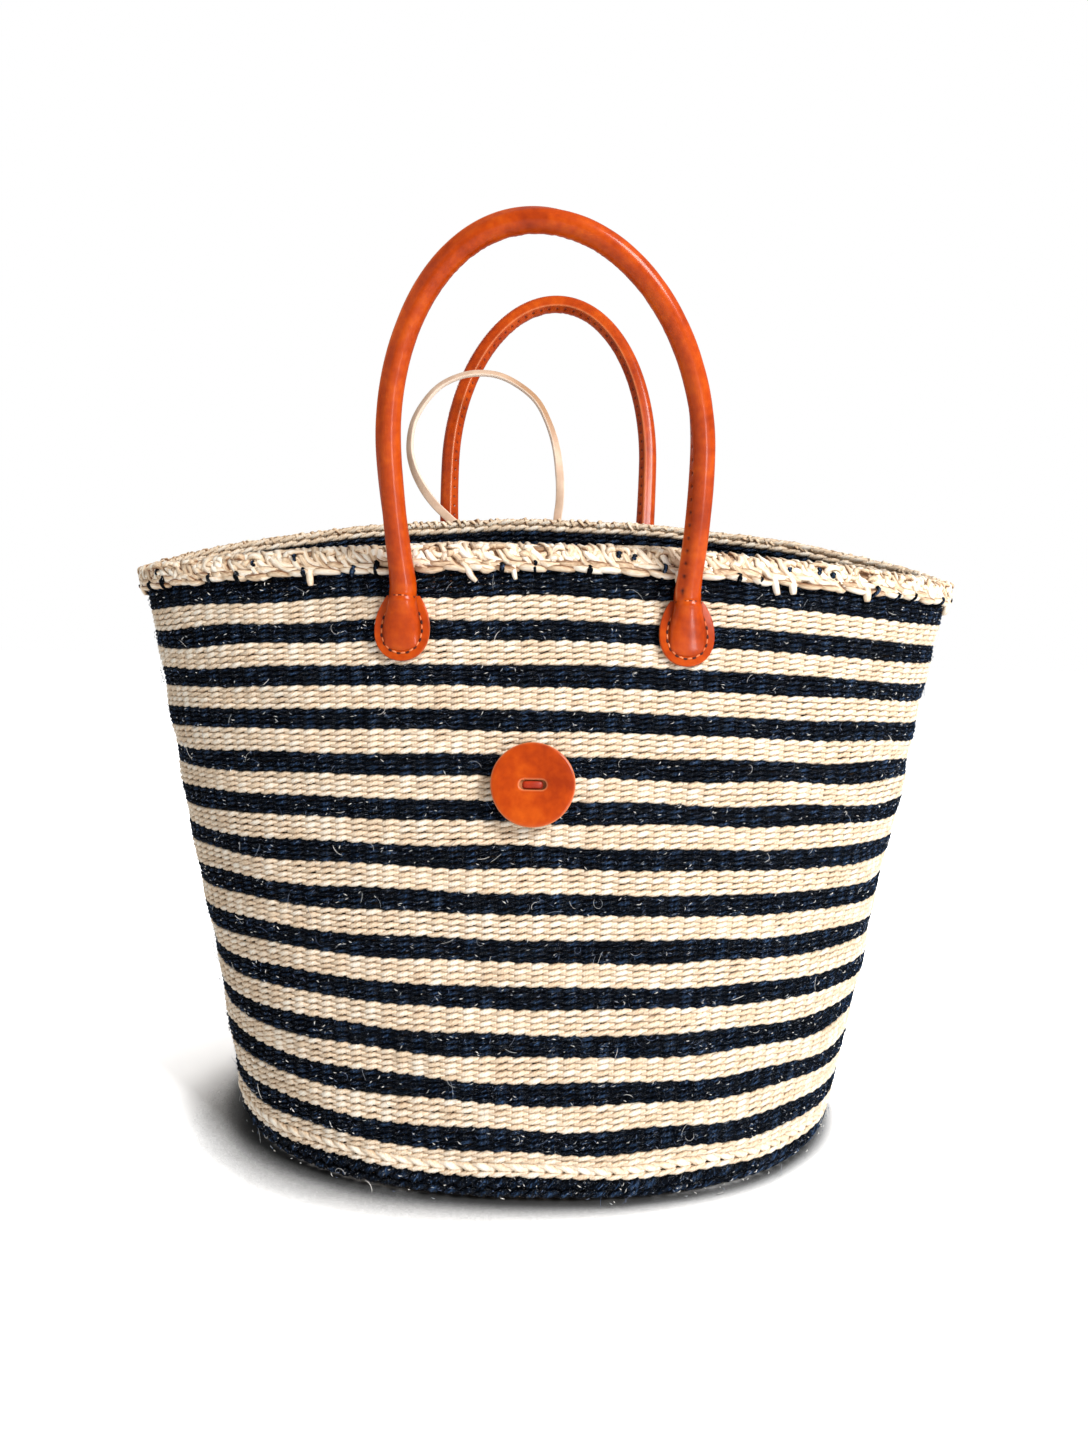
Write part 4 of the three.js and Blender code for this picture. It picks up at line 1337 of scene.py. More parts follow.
@dataclass
class Tab:
    """Foot of a handle: flat flange, tongue over the rope end, stitches and inner patch."""

    sizes: TabSizes
    handle: HandleSizes
    seat: Matrix
    name: str

    TONGUE_SHARES = (
        (0.0, 0.0, 0.97), (0.05, 0.1, 0.86), (0.11, 0.25, 0.96), (0.17, 0.35, 0.86), (0.25, 0.5, 0.76),
        (0.5, 1.0, 0.5), (0.72, 1.0, 0.3), (0.88, 0.72, 0.14), (0.97, 0.3, 0.02), (1.0, 0.0, -0.06),
    )

    def world(self, points: Array) -> Array:
        """Points of the seat frame in the frame of the basket."""
        matrix = np.array(self.seat)
        return points @ matrix[:3, :3].T + matrix[:3, 3]

    def outline(self, inset: float, count: int = 12) -> Array:
        """Closed outline of the tab, shape (n, 2), from its right neck over the left and back.

        Args:
            inset: distance inside the tab's edge.
            count: points to a curve.

        Returns:
            The outline's points.
        """
        sizes = self.sizes
        half, neck = sizes.half_width - inset, sizes.neck_half_width - inset
        top, bottom = sizes.top - inset, -self.handle.radius - sizes.length + inset
        waist = bottom + 1.1 * half
        upper = (0.85 * half, top + (waist - top) * 0.3)
        lower = (half, top + (waist - top) * 0.6)
        end_x, end_y = 0.6 * half, waist - 0.62 * half
        parts = [
            bezier((neck, top), (neck / 3, top), (-neck / 3, top), (-neck, top), count // 2),
            bezier((-neck, top), (-upper[0], upper[1]), (-lower[0], lower[1]), (-half, waist), count),
            bezier((-half, waist), (-half, end_y), (-end_x, bottom), (0, bottom), count),
            bezier((0, bottom), (end_x, bottom), (half, end_y), (half, waist), count),
            bezier((half, waist), lower, upper, (neck, top), count),
        ]
        return np.vstack(parts)

    def tongue(self, down: float) -> tuple[float, float, float, float]:
        """Height in the seat frame, half width, floor and crown of the tongue at a share of its length."""
        sizes = self.sizes
        table = np.array(self.TONGUE_SHARES)
        spread = np.interp(down, table[:, 0], table[:, 1])
        crown_share = np.interp(down, table[:, 0], table[:, 2])
        bottom = -self.handle.radius - sizes.length + sizes.end_margin
        y = sizes.top + (bottom - sizes.top) * down
        half = sizes.tongue_top + (sizes.tongue_half - sizes.tongue_top) * spread
        if down >= 0.85:
            closing = (down - 0.85) / 0.1501
            half = half * math.sqrt(max(0.0, 1 - closing**2)) + 0.2 * MM
        floor = sizes.seat + sizes.leather - 0.5 * MM
        low = 1.1 * MM
        crown = self.handle.stand_off + self.handle.radius - floor
        return y, half, floor, low + (crown - low) * crown_share

    def plate(self, inset: float, low: float, thickness: float, name: str, round_off: float) -> Piece:
        """Flat leather plate with rounded edges.

        Args:
            inset: distance of its edge from the tab's outline.
            low: distance of its underside from the wall.
            thickness: thickness of the leather.
            name: name of the object.
            round_off: radius of its edges.

        Returns:
            The plate.
        """
        outline = self.outline(inset)
        bm = bmesh.new()
        raw = float_layer(bm, "raw")
        bmesh.ops.create_circle(bm, cap_ends=True, radius=1.0, segments=len(outline))
        bm.verts.ensure_lookup_table()
        for vert, (x, y) in zip(bm.verts, outline):
            vert.co = Vector((x, y, low))
        lifted = bmesh.ops.extrude_face_region(bm, geom=bm.faces[:])
        top = [item for item in lifted["geom"] if isinstance(item, bmesh.types.BMVert)]
        bmesh.ops.translate(bm, verts=top, vec=(0, 0, thickness))
        bmesh.ops.recalc_face_normals(bm, faces=bm.faces)
        rims = [edge for edge in bm.edges if len({round(v.co.z, 6) for v in edge.verts}) == 1]
        bmesh.ops.bevel(
            bm, geom=rims, offset=round_off, segments=3, affect="EDGES", profile=0.5, material=-1
        )
        for vert in bm.verts:
            middle = low + thickness * 0.35
            vert[raw] = 1.0 if abs(vert.co.z - middle) < thickness * 0.3 else 0.0
        bmesh.ops.transform(bm, matrix=self.seat, verts=bm.verts)
        return bake_bmesh(name, bm)

    def stitches(self) -> Piece:
        """Thread of the running stitch round the tongue and across its top, with dark beads at the holes as
        painted shade.
        """
        sizes = self.sizes
        edge = self.outline(sizes.stitch_margin, 16)[8:]
        line = smooth_path(edge, 200)
        length = np.linalg.norm(np.diff(line, axis=0), axis=1).sum()
        count = max(2, round(length / sizes.stitch_pitch))
        marks = smooth_path(line[::4], count + 1)
        surface = sizes.seat + sizes.leather
        bm = bmesh.new()
        spots = [Vector((x, y, surface)) for x, y in marks]
        self.row(bm, spots, 0.12 * MM)
        y, half, floor, crown = self.tongue(0.05)
        neck = [
            Vector((share * half, y, floor + crown * abs(1 - share**2) ** 0.45))
            for share in np.linspace(-0.86, 0.86, 5)
        ]
        self.row(bm, neck, 0.15 * MM)
        bmesh.ops.transform(bm, matrix=self.seat, verts=bm.verts)
        return bake_bmesh(f"{self.name}_stitches", bm)

    def row(self, bm: BMesh, spots: Sequence[Vector], lift: float) -> None:
        """Adds threads between neighbouring spots and, at each spot, a dark bead as painted shade in the
        hole.

        Args:
            bm: mesh that takes them, in the seat frame.
            spots: places of the holes.
            lift: height of the threads' middles over the spots.
        """
        outward = Vector((0, 0, 1))
        for first, second in zip(spots, spots[1:]):
            reach = second - first
            middle = (first + second) / 2 + outward * lift
            self.bead(bm, middle, reach, (reach.length * 0.29, 0.45 * MM, 0.34 * MM), 0)
        for index, spot in enumerate(spots):
            neighbour = spots[min(index + 1, len(spots) - 1)] - spots[max(index - 1, 0)]
            # A dark bead as painted shade in each hole.
            self.bead(bm, spot + outward * 0.02 * MM, neighbour, (1.1 * MM, 0.62 * MM, 0.22 * MM), 1)

    @staticmethod
    def bead(bm: BMesh, place: Vector, along: Vector, halves: tuple, material: int) -> None:
        """Adds one oval bead.

        Args:
            bm: mesh that takes it.
            place: its middle.
            along: direction of its length.
            halves: half sizes along, across and outward.
            material: material index of its faces.
        """
        turn = along.to_track_quat("X", "Z").to_matrix().to_4x4()
        matrix = Matrix.Translation(place) @ turn @ Matrix.Diagonal((*halves, 1.0))
        made = bmesh.ops.create_uvsphere(bm, u_segments=8, v_segments=6, radius=1.0, matrix=matrix)
        for face in {face for vert in made["verts"] for face in vert.link_faces}:
            face.material_index = material

    def build(self, leather: Material, backing: Material, thread_and_hole_shade: Sequence[Material]) -> None:
        """Builds flange, stitches and inner patch.

        Args:
            leather: material of the outer leather.
            backing: material of the inner leather.
            thread_and_hole_shade: materials of the stitching and of the painted shade in its holes.
        """
        sizes = self.sizes
        flange = self.plate(0.0, sizes.seat, sizes.leather, f"{self.name}_tab_flange", 0.55 * MM)
        dress(flange, [leather], nodes=[f"{self.name}_tab"])
        dress(self.stitches(), thread_and_hole_shade)
        low = sizes.patch_face - sizes.patch_leather
        patch = self.plate(sizes.patch_inset, low, sizes.patch_leather, f"{self.name}_patch", 0.4 * MM)
        dress(patch, [backing], nodes=[f"{self.name}_inner_patch"])


class Handle:
    """Rolled leather handle: one sleeve that runs from tongue to tongue over the arch."""

    OFFSETS = np.radians([-180, -160, -140, -120, -100, -82, -66, -52, -42, -35, -30, -25, -19, -12, -6, -2,
                          2, 6, 12, 19, 25, 30, 35, 42, 52, 66, 82, 100, 120, 140, 160])

    def __init__(self, sizes: HandleSizes, wall: WallForm, tab: TabSizes) -> None:
        """Works out the pivot and both tabs of the handle.

        Args:
            sizes: sizes of the handle.
            wall: wall that carries it.
            tab: sizes of its tabs.
        """
        self.sizes = sizes
        self.wall = wall
        side = sizes.side
        seat_height = wall.rim_level(sizes.foot_half_span, side) - sizes.pivot_below_rim
        seat = wall.seat(sizes.foot_half_span, seat_height, side)
        self.pivot = seat.translation + seat.col[2].xyz * sizes.stand_off
        self.tabs = [
            Tab(tab, sizes, wall.seat(way * sizes.foot_half_span, seat_height, side), f"{sizes.name}_{hand}")
            for hand, way in (("left", -1), ("right", 1))
        ]

    def arch(self, count: int) -> Array:
        """Centreline in the handle's own plane, evenly parted, shape (count, 2)."""
        sizes = self.sizes
        up = np.linspace(0.0, 1.0, 60, endpoint=False)
        splay = (sizes.half_span - sizes.foot_half_span) * (1 - up) ** 2
        leg = np.stack([sizes.half_span - splay, sizes.shoulder * up], axis=1)
        turn = np.linspace(0.0, math.pi / 2, 120)
        rise = sizes.shoulder + (sizes.height - sizes.shoulder) * np.sin(turn)
        crown = np.stack([sizes.half_span * np.cos(turn), rise], axis=1)
        half = np.vstack([leg, crown])
        line = np.vstack([half * (-1, 1), half[::-1][1:]])
        line[:, 0] += sizes.sway * (line[:, 1] / sizes.height) ** 2
        return even_points(line, count)

    def swing(self, points: Array) -> Array:
        """Points of the handle's own frame in the frame of the basket."""
        side, tilt = self.sizes.side.value, self.sizes.tilt
        c, s = math.cos(-side * tilt), math.sin(-side * tilt)
        x, y, z = points[..., 0], points[..., 1], points[..., 2]
        turned = np.stack([x, y * c - z * s, y * s + z * c], axis=-1)
        return turned + np.array([0.0, self.pivot.y, self.pivot.z])

    def sleeve(self) -> Piece:
        """Sleeve from the end of one tongue to the end of the other."""
        sizes = self.sizes
        side = float(sizes.side.value)
        flat = self.arch(500)
        length = np.linalg.norm(np.diff(flat, axis=0), axis=1).sum()
        share = np.linspace(0.0, 1.0, len(flat))
        tangent = unit(np.gradient(flat, axis=0))
        outward = np.stack([-tangent[:, 1], tangent[:, 0]], axis=1)
        keys = np.array(sizes.seam_turns, dtype=float)
        seam = np.radians(np.interp(share, keys[:, 0], keys[:, 1]))
        angles = seam[:, None] + self.OFFSETS[None, :]
        travelled = share * length
        foot = np.minimum(travelled, length - travelled)
        degrees = np.degrees(self.OFFSETS)
        ridge = np.exp(-((degrees / 8.0) ** 2))
        flats = np.exp(-(((np.abs(degrees) - 32.0) / 18.0) ** 2))
        lane = np.exp(-(((degrees - 30.0 * sizes.stitch_side) / 9.0) ** 2))
        stitch = np.clip(np.cos(TAU * travelled / sizes.stitch_pitch) * 2.2 - 1.2, 0.0, 1.0)
        radius = sizes.radius * (1.03 + 0.1 * np.exp(-foot / (80 * MM)) + 0.12 * np.exp(-foot / (9 * MM)))
        cosine, sine = np.cos(angles), np.sin(angles)
        rng = np.random.default_rng(21)
        crumple = np.convolve(rng.normal(0.0, 1.0, len(flat)), (0.25, 0.5, 0.25), "same")
        window = np.exp(-(((share - 0.5) / 0.17) ** 2))
        folds = 0.16 * MM * (crumple * window)[:, None] * np.clip(0.35 - cosine, 0.0, 1.0)
        radius = radius[:, None] + (0.5 * ridge - 0.32 * flats)[None, :] * MM
        radius = radius - 0.8 * MM * stitch[:, None] * lane[None, :] + folds
        x, z = (flat[:, [axis]] + radius * cosine * outward[:, [axis]] for axis in (0, 1))
        tube = self.swing(np.stack([x, radius * sine * side, z], axis=-1))
        # Painted shade in the stitch dents of the seam lane.
        crease = stitch[:, None] * lane[None, :]
        raw = np.broadcast_to(ridge**3 * 0.5, crease.shape)
        pieces, valley_shades = [], []
        for number, tab in enumerate(self.tabs):
            inner = 1.0 if number == 0 else -1.0
            row = angles[0] if number == 0 else angles[-1]
            arch_out = np.array([-inner, 0.0, 0.0])
            sign = float(np.sign(arch_out @ np.array(tab.seat.col[0].xyz)))
            rings = []
            for down in np.linspace(0.04, 1.0, 26):
                y, half, floor, crown = tab.tongue(down)
                c, s = np.cos(row), np.sin(row)
                z = np.where(s > 0, floor + crown * np.abs(s) ** 0.75, floor - 0.4 * MM)
                rings.append(tab.world(np.stack([sign * half * c, np.full_like(c, y), z], axis=-1)))
            pieces.append(np.array(rings))
            # Painted shade along the valley where the tongue meets the flange.
            valley_shades.append(np.broadcast_to(0.55 * np.clip(1 - np.sin(row) / 0.5, 0.0, 1.0), (26, len(row))))
        left, right = pieces
        keep = int(round(9 * MM / (length / len(flat))))
        for offset in range(keep):
            mix = (1 - offset / keep) ** 2 * 0.55
            for end, here, ring in ((0, offset, left[0]), (-1, -1 - offset, right[0])):
                tube[here] = tube[here] * (1 - mix) + (ring + (tube[here] - tube[end])) * mix
        rings = np.concatenate([left[::-1], tube, right])
        pad = np.zeros((26, len(self.OFFSETS)))
        values = {
            "crease": np.concatenate([valley_shades[0], crease, valley_shades[1]]),
            "raw": np.concatenate([pad, raw, pad]),
        }
        bm = bmesh.new()
        rolled_sheet(bm, rings, values)
        weld(bm)
        return bake_bmesh(f"{sizes.name}_handle_sleeve", bm)

    def build(self, leather: Material, backing: Material, thread_and_hole_shade: Sequence[Material]) -> None:
        """Builds the sleeve and both tabs.

        Args:
            leather: material of the outer leather.
            backing: material of the inner leather.
            thread_and_hole_shade: materials of the stitching and of the painted shade in its holes.
        """
        name = self.sizes.name
        sleeve = self.sleeve()
        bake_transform(sleeve)
        dress(sleeve, [leather], None, [f"{name}_handle_leather"])
        for tab in self.tabs:
            tab.build(leather, backing, thread_and_hole_shade)
        log.info("%s handle", name)


# Hidden warps, base and loose fibres


@dataclass
class Core:
    """Warps inside the wall and the woven floor of the basket."""

    wall: WallForm
    warps: WarpSpread
    twined: TwinedWall

    def stakes(self) -> None:
        """Flat warps that stand in the twining and close the gaps between its stitches."""
        count, sides = 28, 4
        batch = StrandBatch(count, sides)
        levels = np.linspace(8 * MM, self.wall.height - 4 * MM, count)
        numbers = np.arange(self.warps.count) / self.warps.count
        spread = np.stack([self.warps.angle(numbers, level / self.wall.height) for level in levels])
        half_width, half_thickness = 3.9 * MM, 0.4 * MM
        for number, turn in enumerate(numbers):
            angles = spread[:, number]
            swell = self.twined.swell_at(np.full(count, turn), levels)
            inset = self.twined.sizes.mid_inset + 0.1 * MM - swell
            path = self.wall.point(levels / self.wall.height, angles, inset)
            up = self.wall.outward(levels / self.wall.height, angles)
            rings = tube_rings(path, np.full(count, half_width), np.full(count, half_thickness), up, sides)
            batch.add(rings)
        # The hidden warps are dark brown: painted shade in the gaps between the stitches.
        sheet = NodeSheet("shaded_warp")
        fibre = sheet.noise(sheet.spot(), 900.0, 2.0)
        colour = sheet.ramp(fibre, [(0.35, tint(20, 17, 15)), (0.65, tint(58, 46, 34))])
        surface = {"Base Color": colour, "Roughness": 0.9, "Specular IOR Level": 0.1}
        dress(batch.build("hidden_warps"), [sheet.finish(surface)])
        log.info("warps")

    def floor(self, natural: Material) -> None:
        """Woven floor: rings of twining that grow from the middle to the foot of the wall."""
        bm = bmesh.new()
        rows, stitch = 19, 9.5 * MM
        width, depth = self.wall.foot_half_width - 8 * MM, self.wall.foot_half_depth - 8 * MM
        ring = np.linspace(0.0, TAU, 5, endpoint=False)
        rng = np.random.default_rng(31)
        for row in range(rows):
            share = (row + 0.6) / rows
            a = width * share
            b = depth * share
            around = math.pi * (a + b)
            count = max(6, 2 * round(around / stitch / 2))
            steps = count * 4
            x = np.linspace(0.0, count, steps + 1) + 1 / 8
            tones = rng.uniform(0.0, 1.0, (2, count))
            for ply in range(2):
                phase = math.pi * (x + ply)
                facing = np.cos(phase)
                reach = np.sign(facing) * np.abs(facing) ** 0.5
                half = depth / rows * (0.28 + 0.32 * np.abs(facing))
                angle = TAU * x / count
                direction = unit(np.stack([a * np.cos(angle), b * np.sin(angle)], axis=1))
                turned = ring[None, :] + phase[:, None]
                out = depth / rows * 0.25 * np.sin(phase)[:, None] + half[:, None] * np.sin(turned)
                up = 2.5 * MM + 1.1 * MM * reach[:, None] + 0.95 * MM * np.cos(turned)
                flat_x = (a * np.cos(angle))[:, None] + direction[:, 0][:, None] * out
                flat_y = (b * np.sin(angle))[:, None] + direction[:, 1][:, None] * out
                rings = np.stack([flat_x, flat_y, np.clip(up, 0.3 * MM, None)], axis=-1)
                tone = tones[ply][np.rint(x).astype(int) % count]
                values = {
                    "along": (x * stitch)[:, None] + row,
                    "around": 1 - np.abs(ring / math.pi - 1),
                    "tone": tone[:, None],
                    # Painted shade where the strands dive, lighter where they face out.
                    "lift": np.abs(facing)[:, None] * 0.7,
                }
                rolled_sheet(bm, rings, values)
        weld(bm, cap=False)
        dress(bake_bmesh("woven_floor", bm), [natural], nodes=["woven_base"])
        log.info("floor")


@dataclass(frozen=True)
class FibreSizes:
    """Loose fibres on the wall: short glints that lie on the stitches, and longer stray hairs."""

    glints: int = 4200
    hairs: int = 420
    glint_length: tuple = (1.2 * MM, 3.6 * MM)
    hair_length: tuple = (5 * MM, 10 * MM)
    glint_radius: float = 0.21 * MM
    hair_radius: float = 0.09 * MM


@dataclass
class LooseFibres:
    """Bleached fibre ends that catch the light, most of them on the dark bands; the short pale slivers are
    partly painted glints.
    """

    wall: WallForm
    warps: WarpSpread
    sizes: FibreSizes
    courses: Courses

    def level(self, rng: Rng, dark: bool) -> float:
        """Height along the wall on a dark or any band."""
        courses = self.courses
        pair = courses.natural + courses.navy
        if not dark:
            return float(rng.uniform(4 * MM, self.wall.height - courses.rim))
        if rng.uniform() < 0.07:
            return float(rng.uniform(2 * MM, courses.base))
        number = rng.integers(0, courses.pairs)
        return courses.base + number * pair + courses.natural + float(rng.uniform(0.06, 0.94)) * courses.navy

    def strand(self, batch: StrandBatch, rng: Rng, glint: bool) -> None:
        """Adds one fibre: a short bowed sliver, or a hair that curls off the wall.

        Args:
            batch: fibres of one kind.
            rng: source of the small differences.
            glint: whether it is a sliver.
        """
        sizes = self.sizes
        length = rng.uniform(*(sizes.glint_length if glint else sizes.hair_length))
        radius = (sizes.glint_radius if glint else sizes.hair_radius) * rng.uniform(0.7, 1.3)
        level = self.level(rng, dark=glint or rng.uniform() < 0.75)
        turns = rng.uniform()
        steps, sides = batch.shape
        heading = rng.normal(0.12, 0.45) if glint else rng.uniform(-math.pi, math.pi)
        curl = rng.normal(0.0, 0.5) if glint else rng.normal(0.0, 1.6)
        t = np.linspace(0.0, 1.0, steps)
        way = heading + curl * t
        across = np.cumsum(np.cos(way)) * length / steps
        up = np.cumsum(np.sin(way)) * length / steps
        out = 0.65 * MM + 0.4 * MM * np.sin(math.pi * t)
        if not glint:
            out = out + rng.uniform(0.0, 2.4) * MM * t**1.5
        share = np.clip(level + up, 0.8 * MM, None) / self.wall.height
        angle = self.warps.angle(turns + across / 1.05, level / self.wall.height)
        path = self.wall.point(share, angle, -out)
        taper = np.full(steps, radius)
        taper[[0, -1]] *= 0.35
        rings = tube_rings(path, taper, taper, self.wall.outward(share, angle), sides)
        batch.add(rings, {"bleach_and_glint": np.array(rng.uniform())})

    def build(self) -> None:
        """Builds the glints and the hairs."""
        rng = np.random.default_rng(41)
        sheet = NodeSheet("bleached_fibre_and_glint")
        tints = tint(44, 60, 92), tint(88, 106, 138), tint(196, 198, 196), tint(255, 251, 244)
        # Colour from blue to near white: bleached fibre, partly painted glint.
        colour = sheet.ramp(sheet.value("bleach_and_glint"), list(zip((0.0, 0.36, 0.62, 0.9), tints)))
        surface = {"Base Color": colour, "Roughness": 0.3, "Specular IOR Level": 0.8}
        material = sheet.finish(surface)
        for name, count, steps in (("glints", self.sizes.glints, 3), ("stray_hairs", self.sizes.hairs, 8)):
            batch = StrandBatch(steps, 3)
            for _ in range(count):
                self.strand(batch, rng, glint=name == "glints")
            dress(batch.build(name), [material])
        log.info("loose fibres")


# Button and loop


@dataclass(frozen=True)
class ButtonSizes:
    """Sizes of the button on the front wall."""

    offset: float = -4 * MM
    below_rim: float = 115 * MM
    radius: float = 20 * MM
    face: float = 1.9 * MM
    back: float = 1.8 * MM
    stand_off: float = 3.2 * MM
    gap: float = 0.3 * MM
    slot_half_length: float = 6.4 * MM
    slot_half_height: float = 2.35 * MM
    thong_half_width: float = 1.8 * MM
    thong_recess: float = 0.7 * MM
    washer: float = 1.6 * MM
    washer_hole: float = 2.3 * MM
    shank_radius: float = 1.9 * MM
    knot: float = 4.6 * MM
    inner_face: float = -5.8 * MM


class Button:
    """Two leather discs on a thong that is knotted inside the wall."""

    def __init__(self, sizes: ButtonSizes, wall: WallForm) -> None:
        """Finds the button's seat on the wall."""
        self.sizes = sizes
        level = wall.rim_level(sizes.offset, Side.FRONT) - sizes.below_rim
        self.seat = wall.seat(sizes.offset, level, Side.FRONT)

    def slot_edge(self, turn: float, grow: float = 0.0) -> tuple[float, float]:
        """Point of the slot's round-ended outline in a direction.

        Args:
            turn: direction as an angle.
            grow: distance outside the outline.

        Returns:
            Its x and y.
        """
        sizes = self.sizes
        flat = sizes.slot_half_length - sizes.slot_half_height
        radius = sizes.slot_half_height + grow
        c, s = math.cos(turn), math.sin(turn)
        if abs(c) * radius <= abs(s) * flat + 1e-12:
            return c / max(abs(s), 1e-9) * radius, math.copysign(radius, s)
        b = flat * abs(c)
        reach = b + math.sqrt(max(0.0, b * b - flat**2 + radius**2))
        return reach * c, reach * s

    def ring_disc(self, name: str, low: float, thickness: float, slotted: bool) -> Piece:
        """Leather disc, with or without the slot, with softened edges.

        Args:
            name: name of the object.
            low: distance of its underside from the wall.
            thickness: thickness of the leather.
            slotted: whether the slot is cut through it.

        Returns:
            The disc.
        """
        sizes = self.sizes
        count = 120
        top = low + thickness
        profile = [
            (0.0, 0.0, low, 1.0), (0.0, 0.0, top - 0.75 * MM, 1.0),
            (0.0, 0.16 * MM, top - 0.35 * MM, 1.0), (0.0, 0.5 * MM, top - 0.08 * MM, 0.45),
            (0.0, 0.95 * MM, top, 0.0), (0.3, 0.0, top + 0.05 * MM, 0.0),
            (0.7, 0.0, top + 0.05 * MM, 0.0), (0.93, 0.0, top - 0.02 * MM, 0.0),
            (1.0, -0.55 * MM, top - 0.2 * MM, 0.1), (1.0, -0.18 * MM, top - 0.5 * MM, 0.8),
            (1.0, 0.0, top - 0.85 * MM, 1.0), (1.0, 0.0, low + 0.3 * MM, 1.0),
            (1.0, -0.4 * MM, low, 0.6),
        ]
        rings = np.zeros((count + 1, len(profile), 3))
        raw = np.zeros((count + 1, len(profile)))
        for i in range(count + 1):
            turn = TAU * (i % count) / count
            wobble = 1 + 0.004 * math.sin(3 * turn + 0.6) + 0.003 * math.sin(5 * turn)
            for j, (share, shift, z, bare) in enumerate(profile):
                if slotted:
                    inner = Vector(self.slot_edge(turn, shift if share == 0 else 0.0))
                else:
                    inner = Vector((math.cos(turn), math.sin(turn))) * 1.2 * MM
                reach = sizes.radius * wobble + (shift if share == 1 else 0.0)
                outer = Vector((math.cos(turn), math.sin(turn))) * reach
                spot = inner.lerp(outer, share)
                rings[i, j] = (spot.x, spot.y, z)
                raw[i, j] = bare * (0.55 if share == 0 else 0.7)
        bm = bmesh.new()
        rolled_sheet(bm, rings, {"raw": raw})
        weld(bm, cap=False)
        bmesh.ops.transform(bm, matrix=self.seat, verts=bm.verts)
        return bake_bmesh(name, bm)

    def thong(self) -> Piece:
        """Thong over the web of the button, down through both discs and the wall to its knot."""
        sizes = self.sizes
        top = sizes.stand_off + sizes.back + sizes.gap + sizes.face - sizes.thong_recess - 0.7 * MM
        low = sizes.stand_off - 1.2 * MM
        middle = (low + top) / 2
        side = [
            (1.2 * MM, low), (3.8 * MM, low + 0.4 * MM), (4.4 * MM, middle),
            (4.1 * MM, top - 0.7 * MM), (2.4 * MM, top - 0.1 * MM),
        ]
        left = [(-x, 0, z) for x, z in side]
        right = [(x, 0, z) for x, z in reversed(side)]
        path = smooth_path([*left, (0, 0, top + 0.1 * MM), *right], 48)
        up = unit(path - np.array([0.0, 0.0, middle]))
        bm = bmesh.new()
        wide = np.full(48, sizes.thong_half_width)
        rings = tube_rings(path, wide, np.full(48, 0.68 * MM), up, 12)
        rolled_sheet(bm, rings)
        knot_z = sizes.inner_face - sizes.washer - sizes.gap - 0.7 * sizes.knot
        shank = np.stack([np.zeros(10), np.zeros(10), np.linspace(low + 0.4 * MM, knot_z, 10)], axis=1)
        half = np.full(10, sizes.shank_radius)
        rings = tube_rings(shank, half, half, np.tile([1.0, 0.0, 0.0], (10, 1)), 12)
        rolled_sheet(bm, rings)
        weld(bm)
        add_knot(bm, knot_z, sizes.knot)
        bmesh.ops.transform(bm, matrix=self.seat, verts=bm.verts)
        return bake_bmesh("button_thong_strap", bm)

    def build(self, leather: Material, backing: Material, thong: Material) -> None:
        """Builds both discs, the thong and the washer inside.

        Args:
            leather: material of the outer leather.
            backing: material of the inner leather.
            thong: material of the thong.
        """
        sizes = self.sizes
        face_low = sizes.stand_off + sizes.back + sizes.gap
        face = self.ring_disc("button_face", face_low, sizes.face, slotted=True)
        dress(face, [leather], Body.BUTTON, ["button_face_disc"])
        back = self.ring_disc("button_back", sizes.stand_off, sizes.back, slotted=False)
        dress(back, [backing], Body.BUTTON, ["button_back_disc"])
        dress(self.thong(), [thong], Body.BUTTON, ["button_thong"])
        low = sizes.inner_face - sizes.washer
        washer = washer_disc("button_washer_disc", self.seat, low, sizes.washer, sizes.washer_hole)
        dress(washer, [backing], nodes=["button_washer"])
        log.info("button")


def add_knot(bm: BMesh, height: float, size: float) -> None:
    """Adds an overhand knot: a short trefoil of cord pressed against the wall.

    Args:
        bm: mesh that takes the knot, in the seat frame.
        height: height of the knot's middle, negative inside the wall.
        size: reach of the knot.
    """
    turn = np.linspace(0.0, TAU, 61)
    reach = size * (0.5 + 0.16 * np.cos(3 * turn))
    path = np.stack(
        [reach * np.cos(2 * turn), reach * np.sin(2 * turn), height + size * 0.3 * np.sin(3 * turn)], axis=1
    )
    up = np.tile([0.0, 0.0, 1.0], (61, 1))
    rolled_sheet(bm, tube_rings(path, np.full(61, size * 0.36), np.full(61, size * 0.3), up, 10))
    bmesh.ops.remove_doubles(bm, verts=bm.verts, dist=1e-6)
    bmesh.ops.recalc_face_normals(bm, faces=bm.faces)


def washer_disc(name: str, seat: Matrix, low: float, thickness: float, hole: float) -> Piece:
    """Leather washer with softened edges.

    Args:
        name: name of the object.
        seat: frame of its seat on the wall.
        low: height of its inner face in that frame.
        thickness: thickness of the leather.
        hole: radius of its hole.

    Returns:
        The washer.
    """
    outer, edge = 8 * MM, 0.35 * MM
    top = low + thickness
    section = [
        (hole, low), (hole, top), (outer - edge, top),
        (outer, top - edge), (outer, low + edge), (outer - edge, low),
    ]
    turn = np.linspace(0.0, TAU, 49)
    across, along = np.cos(turn), np.sin(turn)
    columns = [np.stack([reach * across, reach * along, np.full(49, z)], axis=1) for reach, z in section]
    rings = np.stack(columns, axis=1)
    rings[-1] = rings[0]
    bm = bmesh.new()
    rolled_sheet(bm, rings)
    weld(bm, cap=False)
    bmesh.ops.transform(bm, matrix=seat, verts=bm.verts)
    return bake_bmesh(name, bm)


